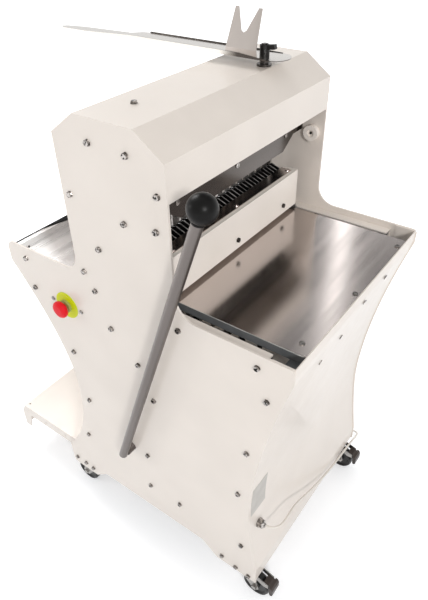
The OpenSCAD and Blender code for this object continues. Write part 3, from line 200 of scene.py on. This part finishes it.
def finish(name, low, high, roughness, metallic=0.0, coat=0.0, patch=9, grain=900,
           stretch=EVEN, depth=0.0002, strength=0.25, spread=0.06, specular=0.5, sharp=0.2):
    """A finish with slow colour patches, uneven gloss and a fine grain; a small sharp gives hard patches."""
    mat, surface = shader(name, roughness, metallic, coat, specular)
    tree = mat.node_tree
    colour = ramp(tree, noise(tree, patch, stretch), low, high, 0.5 - sharp, 0.5 + sharp)
    tree.links.new(colour, surface.inputs["Base Color"])
    lumps = noise(tree, patch * GLOSS_LUMPS, stretch)
    gloss = ramp(tree, lumps, grey(roughness - spread), grey(roughness + spread))
    tree.links.new(gloss, surface.inputs["Roughness"])
    bump(tree, surface, noise(tree, grain, stretch), strength, depth)
    return mat


def brushed(name, low, high, roughness, stretch, metallic=1.0, patch=10, spread=0.03):
    """Brushed steel."""
    return finish(name, low, high, roughness, metallic, patch=patch, grain=STEEL_GRAIN, stretch=stretch,
                  depth=STEEL_DEPTH, strength=0.15, spread=spread)


def painted_reflection_fade(name, low, high, heading, start, end, roughness, metallic, stretch):
    """Steel whose colour goes from low to high along a heading, from the start point to the end point: a
    painted reflection.
    """
    mat = finish(name, low, high, roughness, metallic, grain=STEEL_GRAIN, stretch=stretch, depth=STEEL_DEPTH)
    tree = mat.node_tree
    way = along(tree, object_place(tree), heading)
    share = mapped(tree, way, Vector(heading).dot(start), Vector(heading).dot(end), soft=False)
    tree.links.new(ramp(tree, share, low, high, 0, 1), tree.nodes["Principled BSDF"].inputs["Base Color"])
    return mat


# The trough's colour is a painted reflection, pale by the near plate and darker away from it, and the tray's
# near lip is a painted reflection, pale where it mirrors the hood and dark by its stud
TROUGH_HEADING = (0.46, 1, 0)
TROUGH_LIGHT = at(-340, -222, 751)
TROUGH_DARK = at(-340, -186, 751)
LIP_HEADING = (1, 0, 0)
LIP_LIGHT = at(-40, 0, 0)
LIP_DARK = at(5, 0, 0)

PAINT = finish("paint", srgb(221, 212, 203), srgb(226, 217, 208), 0.36, coat=0.2, grain=700, depth=0.0001)
STAINLESS = brushed("stainless", srgb(198, 190, 186), srgb(216, 207, 203), 0.17, BRUSHED_Y,
                    patch=9, spread=0.04)
# Painted reflection: pale by the near plate, darker away from it
TROUGH_PAINTED_REFLECTION = painted_reflection_fade("trough_painted_reflection", srgb(229, 226, 223), srgb(188, 182, 178),
                             TROUGH_HEADING, TROUGH_LIGHT, TROUGH_DARK, 0.26, 0.6, BRUSHED_Y)
# Painted highlight: the guard's lower lip is a light copy of the guard's steel
GUARD_LIP_PAINTED_HIGHLIGHT = brushed("guard_lip", srgb(232, 230, 227), srgb(242, 240, 238), 0.26, BRUSHED_Y,
                          metallic=0.6, patch=12, spread=0.04)
SKIRT = finish("table_skirt", srgb(190, 191, 187), srgb(226, 227, 223), 0.5, patch=18, depth=0.0001,
               sharp=0.1)
# Painted shade: the guard's stainless steel is coloured dark as it lies in shade under the hood
GUARD_PAINTED_SHADE = brushed("guard_steel_painted_shade", srgb(74, 69, 66), srgb(96, 90, 86), 0.2, BRUSHED_Y)
TRAY_STEEL = brushed("tray_steel", srgb(198, 194, 189), srgb(214, 210, 205), 0.18, BRUSHED_X, patch=12)
FORK_STEEL = brushed("fork_steel", srgb(172, 164, 158), srgb(188, 180, 174), 0.34, BRUSHED_UP)
# Painted shade: a dark copy of the tray's steel for its side faces and the near lip's top edge
TRAY_SIDE_PAINTED_SHADE = finish("tray_side_painted_shade", srgb(74, 70, 67), srgb(104, 99, 95), 0.3, 1.0, patch=30,
                   grain=STEEL_GRAIN, depth=STEEL_DEPTH)
# Painted reflection: pale where the near lip mirrors the hood, dark by the stud
TRAY_LIP_PAINTED_REFLECTION = painted_reflection_fade("tray_lip_painted_reflection", srgb(226, 220, 212), srgb(88, 83, 80),
                               LIP_HEADING, LIP_LIGHT, LIP_DARK, 0.26, 0.8, BRUSHED_X)
BLADE = finish("blade", srgb(110, 108, 106), srgb(150, 148, 146), 0.32, 1.0, patch=50, depth=0.00005)
ZINC = finish("zinc", srgb(150, 147, 144), srgb(178, 175, 171), 0.28, 1.0, patch=40, depth=0.00005)
BOLT = finish("bolt", srgb(112, 108, 105), srgb(186, 181, 177), 0.18, 1.0, patch=160, depth=0.00005,
              sharp=0.06)
# Painted glints and dark specks of reflection on bolt heads, as hard random patches
BOLT_FACE_PAINTED_GLINTS = finish("bolt_face_painted_glints", srgb(26, 25, 24), srgb(168, 163, 159), 0.2, 1.0, patch=210, depth=0.00005,
                   sharp=0.05)
# Dark steel for small bolt heads, also painted shade on the tray bracket and the trough's rear edge
DARK_STEEL_AND_PAINTED_SHADE = finish("dark_steel_and_painted_shade", srgb(48, 45, 43), srgb(82, 78, 75), 0.3, 1.0, patch=120, depth=0.00005)
ROD = brushed("rod", srgb(106, 100, 97), srgb(116, 110, 107), 0.3, BRUSHED_UP, patch=5, spread=0.02)
GREY_PAINT = finish("grey_paint", srgb(98, 100, 102), srgb(122, 124, 126), 0.5, patch=20, depth=0.0003)
BLACK = finish("black_plastic", srgb(18, 17, 16), srgb(26, 25, 24), 0.4, patch=20, grain=1500, depth=0.0001,
               specular=0.3)
# Painted shade: a black strip for the shaded gap at the trough's rear lip
SHADE_STRIP_FINISH = finish("painted_shade_strip", srgb(9, 9, 9), srgb(15, 14, 14), 0.6, patch=20, grain=1800, depth=0.00006,
              specular=0.06)
KNOB = finish("knob_black", srgb(10, 9, 9), srgb(16, 15, 14), 0.34, patch=20, grain=1800, depth=0.00006,
              specular=0.12)
FINGER = finish("finger_black", srgb(10, 10, 10), srgb(18, 17, 17), 0.16, coat=0.7, patch=30,
                depth=0.00008, spread=0.04)
# Painted highlight: a lighter copy of the fingers' black for their narrow rounded edges
FINGER_EDGE_PAINTED_HIGHLIGHT = finish("finger_edge", srgb(44, 43, 42), srgb(176, 173, 170), 0.14, coat=1.0, patch=60,
                     depth=0.00008, spread=0.04, specular=1.0)
RED = finish("red_plastic", srgb(214, 16, 30), srgb(224, 22, 36), 0.45, grain=1500, depth=0.00008,
             specular=0.2)
YELLOW = finish("yellow_plastic", srgb(196, 208, 10), srgb(214, 222, 20), 0.45, grain=1500, depth=0.00008,
                specular=0.2)
STEM = finish("collar_stem", srgb(150, 158, 84), srgb(176, 182, 110), 0.4, grain=1500, depth=0.00008)
WHITE_PLASTIC = finish("white_plastic", srgb(234, 226, 217), srgb(240, 232, 224), 0.4, grain=1200,
                       depth=0.0001)
CORD_PVC = finish("cord_pvc", srgb(222, 215, 206), srgb(232, 226, 218), 0.5, grain=1500, depth=0.0001)
WHEEL = finish("wheel_rubber", srgb(22, 21, 20), srgb(34, 32, 31), 0.34, patch=40, specular=0.35)
BELT = finish("belt_rubber", srgb(24, 24, 24), srgb(38, 38, 38), 0.6, patch=40, depth=0.0003)
PEDAL = finish("brown_plastic", srgb(52, 44, 40), srgb(66, 57, 52), 0.4, patch=30, specular=0.35)
INNER = finish("inner_metal", srgb(140, 139, 137), srgb(168, 166, 163), 0.4, 0.85, patch=25, depth=0.0001)
PLATE_FILM = finish("plate_film", srgb(176, 172, 166), srgb(192, 188, 182), 0.4, 0.1, patch=30,
                    depth=0.00005)

FINISHES = {
    "painted_steel": PAINT,
    "stainless": STAINLESS,
    "blade_steel": BLADE,
    "black_plastic": BLACK,
    "zinc_steel": ZINC,
    "grey_metal": GREY_PAINT,
    "belt_rubber": BELT,
    "red_plastic": RED,
    "yellow_plastic": YELLOW,
    "white_plastic": WHITE_PLASTIC,
    "cord_pvc": CORD_PVC,
    "wheel_rubber": WHEEL,
    "brown_plastic": PEDAL,
}
OWN_FINISH = {
    "bag_tray": TRAY_STEEL,
    "outfeed_trough": TROUGH_PAINTED_REFLECTION,
    "fork_plate": FORK_STEEL,
    # The guard's dark colour is painted shade
    "upper_guard": GUARD_PAINTED_SHADE,
    "lever_rod": ROD,
    "lever_knob": KNOB,
    "comb_fingers": FINGER,
    "fasteners": BOLT,
    "cable_gland": BOLT,
    # The tray's zinc bracket is coloured dark as painted shade under the tray
    "tray_bracket": DARK_STEEL_AND_PAINTED_SHADE,
    "carriage_plates": INNER,
    "crank_arms": INNER,
}


def dress(piece, mat):
    piece.data.materials.clear()
    piece.data.materials.append(mat)


def dress_nodes():
    for subpart in frame["record"]["subparts"]:
        name = subpart["node"]
        dress(frame["nodes"][name], OWN_FINISH.get(name, FINISHES[subpart["material_slot"]]))


# Faces of the CAD nodes with a finish of their own, told apart by their middle and normal

# How much of a normal lies along an axis
MOSTLY = 0.9
HALF = 0.5
HARDLY = 0.3
# The stop button: its middle, its yellow disc and the two screws beside it
STOP_CENTRE = at(-190, -281, 647)
DISC_FRONT = at(0, -282.2, 0).y
DISC_BACK = at(0, -279.9, 0).y
DISC_IN = 15.7 * MM
DISC_SLACK = 0.4 * MM
STOP_SCREWS_R = 40 * MM
STOP_SCREWS_OUT = at(0, -278, 0).y
# The side bolts' heads stand further out than this
SIDE_MIDDLE = at(0, 0, 0).y
HEAD_OUT = 283.4 * MM
BAR_FRONT = at(91.2, 0, 0).x
TRAY_NEAR = at(0, 101, 0).y
TRAY_FAR = at(0, 134, 0).y
TRAY_END = at(30, 0, 0).x
TRAY_LIP_TOP = at(0, 0, 1125).z
TROUGH_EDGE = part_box("outfeed_trough")[0][0] + 1 * MM
GUARD_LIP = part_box("upper_guard")[0][2] + 6 * MM


def paint_faces(name, mat, wanted):
    """Gives the faces of a node that wanted() picks a material of their own."""
    piece = frame["nodes"][name]
    piece.data.materials.append(mat)
    index = len(piece.data.materials) - 1
    for face in piece.data.polygons:
        if wanted(face.center, face.normal):
            face.material_index = index


def on_stem(mid, normal):
    """The stop button's collar, all but the ring that shows as its yellow disc."""
    out = Vector((mid.x - STOP_CENTRE.x, 0, mid.z - STOP_CENTRE.z)).length
    on_rim = DISC_FRONT < mid.y < DISC_BACK and out > DISC_IN
    return not (on_rim or abs(mid.y - DISC_FRONT) < DISC_SLACK)


def on_head(mid, normal):
    """The outer face of a side bolt's head, which gets painted glints."""
    return abs(normal.y) > MOSTLY and abs(mid.y - SIDE_MIDDLE) > HEAD_OUT


def on_stop_screw(mid, normal):
    """The two small screws beside the stop button."""
    return (mid - STOP_CENTRE).length < STOP_SCREWS_R and mid.y < STOP_SCREWS_OUT


def on_bar_bolt(mid, normal):
    """The two bolt heads on the pusher bar's face."""
    return mid.x > BAR_FRONT


def on_tray_side(mid, normal):
    """The far lip of the tray, and the rim of its round end, which get painted shade."""
    return abs(normal.z) < HALF and (mid.y > TRAY_FAR or mid.x > TRAY_END)


def on_lip_top(mid, normal):
    """The upper edge of the tray's near lip, which gets a painted dark line of shade."""
    return normal.z > HALF and mid.z > TRAY_LIP_TOP


def on_near_lip(mid, normal):
    """The outer face of the tray's near lip, which gets the painted reflection."""
    return normal.y < -HALF and mid.y < TRAY_NEAR and mid.x < TRAY_END


def on_guard_lip(mid, normal):
    """The guard's lower lip, which gets a painted highlight."""
    return mid.z < GUARD_LIP


def on_skirt(mid, normal):
    """The table's skirts, towards either side plate."""
    return abs(normal.y) > MOSTLY


def on_trough_edge(mid, normal):
    """The cut edge of the trough's rear lip, which gets a painted line of shade."""
    return mid.x < TROUGH_EDGE


def on_finger_edge(mid, normal):
    """A finger's narrow edges, between its two broad sides, which get a painted highlight."""
    return abs(normal.y) < HARDLY


dress_nodes()
paint_faces("estop_collar", STEM, on_stem)
paint_faces("fasteners", BOLT_FACE_PAINTED_GLINTS, on_head)
paint_faces("fasteners", DARK_STEEL_AND_PAINTED_SHADE, on_stop_screw)
paint_faces("pusher_bar", DARK_STEEL_AND_PAINTED_SHADE, on_bar_bolt)
paint_faces("bag_tray", TRAY_SIDE_PAINTED_SHADE, on_tray_side)
paint_faces("bag_tray", TRAY_SIDE_PAINTED_SHADE, on_lip_top)
paint_faces("bag_tray", TRAY_LIP_PAINTED_REFLECTION, on_near_lip)
paint_faces("upper_guard", GUARD_LIP_PAINTED_HIGHLIGHT, on_guard_lip)
paint_faces("infeed_table", SKIRT, on_skirt)
paint_faces("outfeed_trough", DARK_STEEL_AND_PAINTED_SHADE, on_trough_edge)
paint_faces("comb_fingers", FINGER_EDGE_PAINTED_HIGHLIGHT, on_finger_edge)


# The cord: the route of the CAD source, then its coil, in the source's millimetres

CORD_R = 3
CORD_FLOOR = -100 + CORD_R + 0.3
GLAND = Vector((304.87, -240, 197))
GLAND_TILT = radians(6)
GLAND_DIR = Vector((cos(GLAND_TILT), 0, sin(GLAND_TILT)))
GLAND_L = 20
CORD_EXIT = GLAND + GLAND_L * GLAND_DIR
# The bend beside the gland: how far it has turned, in degrees, and how much higher it lies
BEND_R = 29
BEND = [(18, 0.7), (36, 1.2), (54, 1.2), (72, 0.6), (90, -0.6)]
# How far behind the middle the cord lies on the floor
COIL_BACK = 408
CORD_POINTS = [GLAND + 4 * GLAND_DIR, GLAND + 12 * GLAND_DIR, CORD_EXIT] + [
    CORD_EXIT + Vector((BEND_R * sin(radians(turn)), BEND_R * (1 - cos(radians(turn))), lift))
    for turn, lift in BEND] + [
    Vector((353.8, -202, 197)), Vector((353.3, -192, 194.9)), Vector((352, -178, 190.5)),
    Vector((350, -163, 184.3)), Vector((347, -144, 174)), Vector((343.5, -108, 151)),
    Vector((341.5, -60, 120)), Vector((340, 3, 87)), Vector((338.5, 56, 62)), Vector((336.5, 110, 39)),
    Vector((335, 172, 21.5)), Vector((335, 215, 13)), Vector((335, 256, 5)), Vector((334, 292, -9)),
    Vector((326, 330, -33)), Vector((303, 361, -66)), Vector((265, 385, -90)),
    Vector((225, 402, CORD_FLOOR)), Vector((190, COIL_BACK, CORD_FLOOR)),
    Vector((175, COIL_BACK, CORD_FLOOR)), Vector((160, COIL_BACK, CORD_FLOOR + 0.3))]
CORD_STEPS = 4
CORD_ROUNDNESS = 4
COIL_R = 34
COIL_TURNS = 5
COIL_RINGS = 24
COIL_RISE = 2 * CORD_R + 0.6
COIL_AT = Vector((150, COIL_BACK - COIL_R, CORD_FLOOR))
COIL_LIFT = 0.8
COIL_TAIL = [(-12, 0, 0), (-26, 2, -4), (-40, 4, -12), (-50, 5, -18), (-58, 5, -20)]


def coil_point(turn):
    """A point of the coil, turn degrees from its start."""
    around = radians(turn)
    return COIL_AT + Vector((-COIL_R * sin(around), COIL_R * cos(around), COIL_LIFT + COIL_RISE * turn / 360))


def smooth(points, steps):
    """Points on a curve through all the given ones."""
    made = []
    for i in range(len(points) - 1):
        before, here = points[max(i - 1, 0)], points[i]
        there, after = points[i + 1], points[min(i + 2, len(points) - 1)]
        for k in range(steps):
            t = k / steps
            made.append(0.5 * (2 * here + (there - before) * t
                               + (2 * before - 5 * here + 4 * there - after) * t * t
                               + (3 * here - before - 3 * there + after) * t ** 3))
    made.append(points[-1])
    return made


def make_cord():
    coil = [coil_point(i * 360 / COIL_RINGS) for i in range(COIL_TURNS * COIL_RINGS + 1)]
    tail = [coil[-1] + Vector(step) for step in COIL_TAIL]
    route = [at(*p) for p in smooth(CORD_POINTS + coil + tail, CORD_STEPS)]
    data = bpy.data.curves.new("power_lead", "CURVE")
    data.dimensions = "3D"
    data.bevel_depth = CORD_R * MM
    data.bevel_resolution = CORD_ROUNDNESS
    data.use_fill_caps = True
    spline = data.splines.new("POLY")
    spline.points.add(len(route) - 1)
    for point, place in zip(spline.points, route):
        point.co = (*place, 1)
    lead = add_object("power_lead", data)
    data.materials.append(CORD_PVC)
    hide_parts("power_cord", "cord_coil")
    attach(lead, "frame")


make_cord()


# Small still pieces that lie on the CAD nodes

def add_piece(name, form, mat):
    bmesh.ops.recalc_face_normals(form, faces=form.faces)
    mesh = bpy.data.meshes.new(name)
    form.to_mesh(mesh)
    form.free()
    piece = add_object(name, mesh)
    dress(piece, mat)
    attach(piece, "frame")


# A bare plate on the lower panel, bent to the panel's bow

WAIST_X = 302
WAIST_H = 270
# How far the bow stands out from its waist at its end, how far up or down that is, and its power
BOW_UP = (80, 455, 1.75)
BOW_DOWN = (26, 223, 1.5)
PANEL_INSET = 2
BARE_Y = (-268, -208)
BARE_Z = (250, 350)
BARE_GAP = 0.1
BARE_T = 0.5
BARE_ROWS = 20


def panel_x(z):
    """The cover's face at height z, as the CAD source bows it."""
    out, span, power = BOW_UP if z > WAIST_H else BOW_DOWN
    return WAIST_X + out * (abs(z - WAIST_H) / span) ** power - PANEL_INSET


def make_bare_plate():
    form = bmesh.new()
    for lift in (BARE_GAP, BARE_T):
        rows = []
        for i in range(BARE_ROWS + 1):
            z = BARE_Z[0] + (BARE_Z[1] - BARE_Z[0]) * i / BARE_ROWS
            rows.append([form.verts.new(at(panel_x(z) + lift, y, z)) for y in BARE_Y])
        for lower, upper in zip(rows, rows[1:]):
            form.faces.new((lower[0], lower[1], upper[1], upper[0]))
    bmesh.ops.bridge_loops(form, edges=[edge for edge in form.edges if edge.is_boundary])
    add_piece("bare_plate", form, PLATE_FILM)


make_bare_plate()


# The outfeed trough's black strip on its rear lip, painted shade of the gap there, and the screw beside it

TROUGH_X0 = -345
TROUGH_RIM = 751
SHADE_STRIP_END = 272
SHADE_STRIP_NARROW = 2
SHADE_STRIP_WIDE = 21
SHADE_STRIP_GAP = 0.05
SHADE_STRIP_T = 1.4
TAPER_FROM = -195
TAPER_TO = -115
SCREW_X = -315
SCREW_Y = -261
SCREW_Z = 746.5
SCREW_R = 4.2
SCREW_H = 2.4
SCREW_SIDES = 20
SCREW_RINGS = 5


def make_trough_shade_strip():
    """A flat black strip on the rear lip, painted shade of the gap there, which narrows towards the near
    plate.
    """
    outline = [(0, -SHADE_STRIP_END), (SHADE_STRIP_NARROW, -SHADE_STRIP_END), (SHADE_STRIP_NARROW, TAPER_FROM), (SHADE_STRIP_WIDE, TAPER_TO),
               (SHADE_STRIP_WIDE, SHADE_STRIP_END), (0, SHADE_STRIP_END)]
    form = bmesh.new()
    lower = [form.verts.new(at(TROUGH_X0 + x, y, TROUGH_RIM + SHADE_STRIP_GAP)) for x, y in outline]
    upper = [form.verts.new(at(TROUGH_X0 + x, y, TROUGH_RIM + SHADE_STRIP_T)) for x, y in outline]
    form.faces.new(lower)
    form.faces.new(upper)
    for i in range(len(outline)):
        j = (i + 1) % len(outline)
        form.faces.new((lower[i], lower[j], upper[j], upper[i]))
    add_piece("trough_shade_strip", form, SHADE_STRIP_FINISH)


def screw_ring(form, rise):
    """The corners of the head's ring, rise degrees up from its foot."""
    out = SCREW_R * cos(radians(rise))
    z = SCREW_Z + SCREW_H * sin(radians(rise))
    turns = [radians(360 * i / SCREW_SIDES) for i in range(SCREW_SIDES)]
    return [form.verts.new(at(SCREW_X + out * cos(turn), SCREW_Y + out * sin(turn), z)) for turn in turns]


def make_trough_screw():
    """A round head, as turned: rings that close to a point on top."""
    form = bmesh.new()
    rings = [screw_ring(form, 90 * k / SCREW_RINGS) for k in range(SCREW_RINGS)]
    top = form.verts.new(at(SCREW_X, SCREW_Y, SCREW_Z + SCREW_H))
    form.faces.new(rings[0])
    for i in range(SCREW_SIDES):
        j = (i + 1) % SCREW_SIDES
        for low_ring, high_ring in zip(rings, rings[1:]):
            form.faces.new((low_ring[i], low_ring[j], high_ring[j], high_ring[i]))
        form.faces.new((rings[-1][i], rings[-1][j], top))
    add_piece("trough_screw", form, BOLT_FACE_PAINTED_GLINTS)


make_trough_shade_strip()
make_trough_screw()


# Floor, backdrop and light

FLOOR_HALF = 20.0
FLOOR_COLOUR = srgb(244, 245, 247)
FLOOR_ROUGHNESS = 0.9
FLOOR_SPECULAR = 0.1
# The floor's own glow, to the eye, near the machine and far from it, and where it changes
FLOOR_LIFT = 0.32
FAR_LIFT = 1.0
LIFT_FROM = 1.0
LIFT_TO = 3.2
AMBIENT = 0.62
# The dim room that metal sees: which way it lies, how bright it is and where it fades in
ROOM_TURN = radians(22)
ROOM_LEVEL = 0.26
ROOM_HEIGHT = (0.40, 0.52)
ROOM_AHEAD = (0.2, 0.5)
MACHINE_MIDDLE = (0, 0, 0.8)
TABLE_MIDDLE = (0.39, 0, 0.85)


def sees_background(tree):
    """1 for rays that show the background: from the camera, off gloss and in transmission."""
    path = tree.nodes.new("ShaderNodeLightPath")
    seen = maths(tree, "MAXIMUM", path.outputs["Is Camera Ray"], path.outputs["Is Glossy Ray"])
    return maths(tree, "MAXIMUM", seen, path.outputs["Is Transmission Ray"])


def make_floor():
    mesh = bpy.data.meshes.new("floor")
    form = bmesh.new()
    corners = ((-1, -1), (1, -1), (1, 1), (-1, 1))
    form.faces.new([form.verts.new((x * FLOOR_HALF, y * FLOOR_HALF, 0)) for x, y in corners])
    form.to_mesh(mesh)
    form.free()
    floor = add_object("floor", mesh)
    mat, surface = shader("floor", FLOOR_ROUGHNESS, specular=FLOOR_SPECULAR)
    surface.inputs["Base Color"].default_value = FLOOR_COLOUR
    surface.inputs["Emission Color"].default_value = grey(1)
    tree = mat.node_tree
    away = tree.nodes.new("ShaderNodeVectorMath")
    away.operation = "LENGTH"
    tree.links.new(object_place(tree), away.inputs[0])
    glow = mapped(tree, away.outputs["Value"], LIFT_FROM, LIFT_TO, FLOOR_LIFT, FAR_LIFT)
    tree.links.new(maths(tree, "MULTIPLY", sees_background(tree), glow), surface.inputs["Emission Strength"])
    dress(floor, mat)


def room(tree):
    """What metal sees high up behind the machine: a dim room."""
    direction = tree.nodes.new("ShaderNodeTexCoord").outputs["Generated"]
    height = along(tree, direction, (0, 0, 1))
    ahead = along(tree, direction, (-sin(ROOM_TURN), cos(ROOM_TURN), 0))
    seen = maths(tree, "MULTIPLY", mapped(tree, height, *ROOM_HEIGHT), mapped(tree, ahead, *ROOM_AHEAD))
    path = tree.nodes.new("ShaderNodeLightPath")
    mixed = tree.nodes.new("ShaderNodeMix")
    mixed.data_type = "RGBA"
    mixed.inputs["A"].default_value = grey(1)
    mixed.inputs["B"].default_value = grey(ROOM_LEVEL)
    tree.links.new(maths(tree, "MULTIPLY", seen, path.outputs["Is Glossy Ray"]), mixed.inputs["Factor"])
    return mixed.outputs["Result"]


def make_world():
    world = bpy.data.worlds.new("world")
    bpy.context.scene.world = world
    world.use_nodes = True
    tree = world.node_tree
    background = tree.nodes["Background"]
    tree.links.new(room(tree), background.inputs["Color"])
    strength = mapped(tree, sees_background(tree), 0, 1, AMBIENT, 1.0, soft=False)
    tree.links.new(strength, background.inputs["Strength"])


def area_light(name, place, target, size, power, tall=None):
    """A round lamp, or with tall an upright strip."""
    data = bpy.data.lights.new(name, "AREA")
    data.shape = "RECTANGLE" if tall else "DISK"
    data.size = size
    if tall:
        data.size_y = tall
    data.energy = power
    light = add_object(name, data)
    light.location = place
    light.rotation_euler = (Vector(target) - Vector(place)).to_track_quat("-Z", "Y").to_euler()


make_floor()
make_world()
area_light("key", (2.6, -1.9, 2.4), MACHINE_MIDDLE, size=0.5, power=52)
area_light("fill", (-3.1, -2.1, 1.7), MACHINE_MIDDLE, size=0.5, power=16)
area_light("back", (-2.4, 0.6, 3.2), MACHINE_MIDDLE, size=1.6, power=60)
area_light("window", (-0.5, 2.3, 2.55), TABLE_MIDDLE, size=0.1, power=1.2, tall=1.5)
bpy.context.scene.view_settings.view_transform = "Standard"
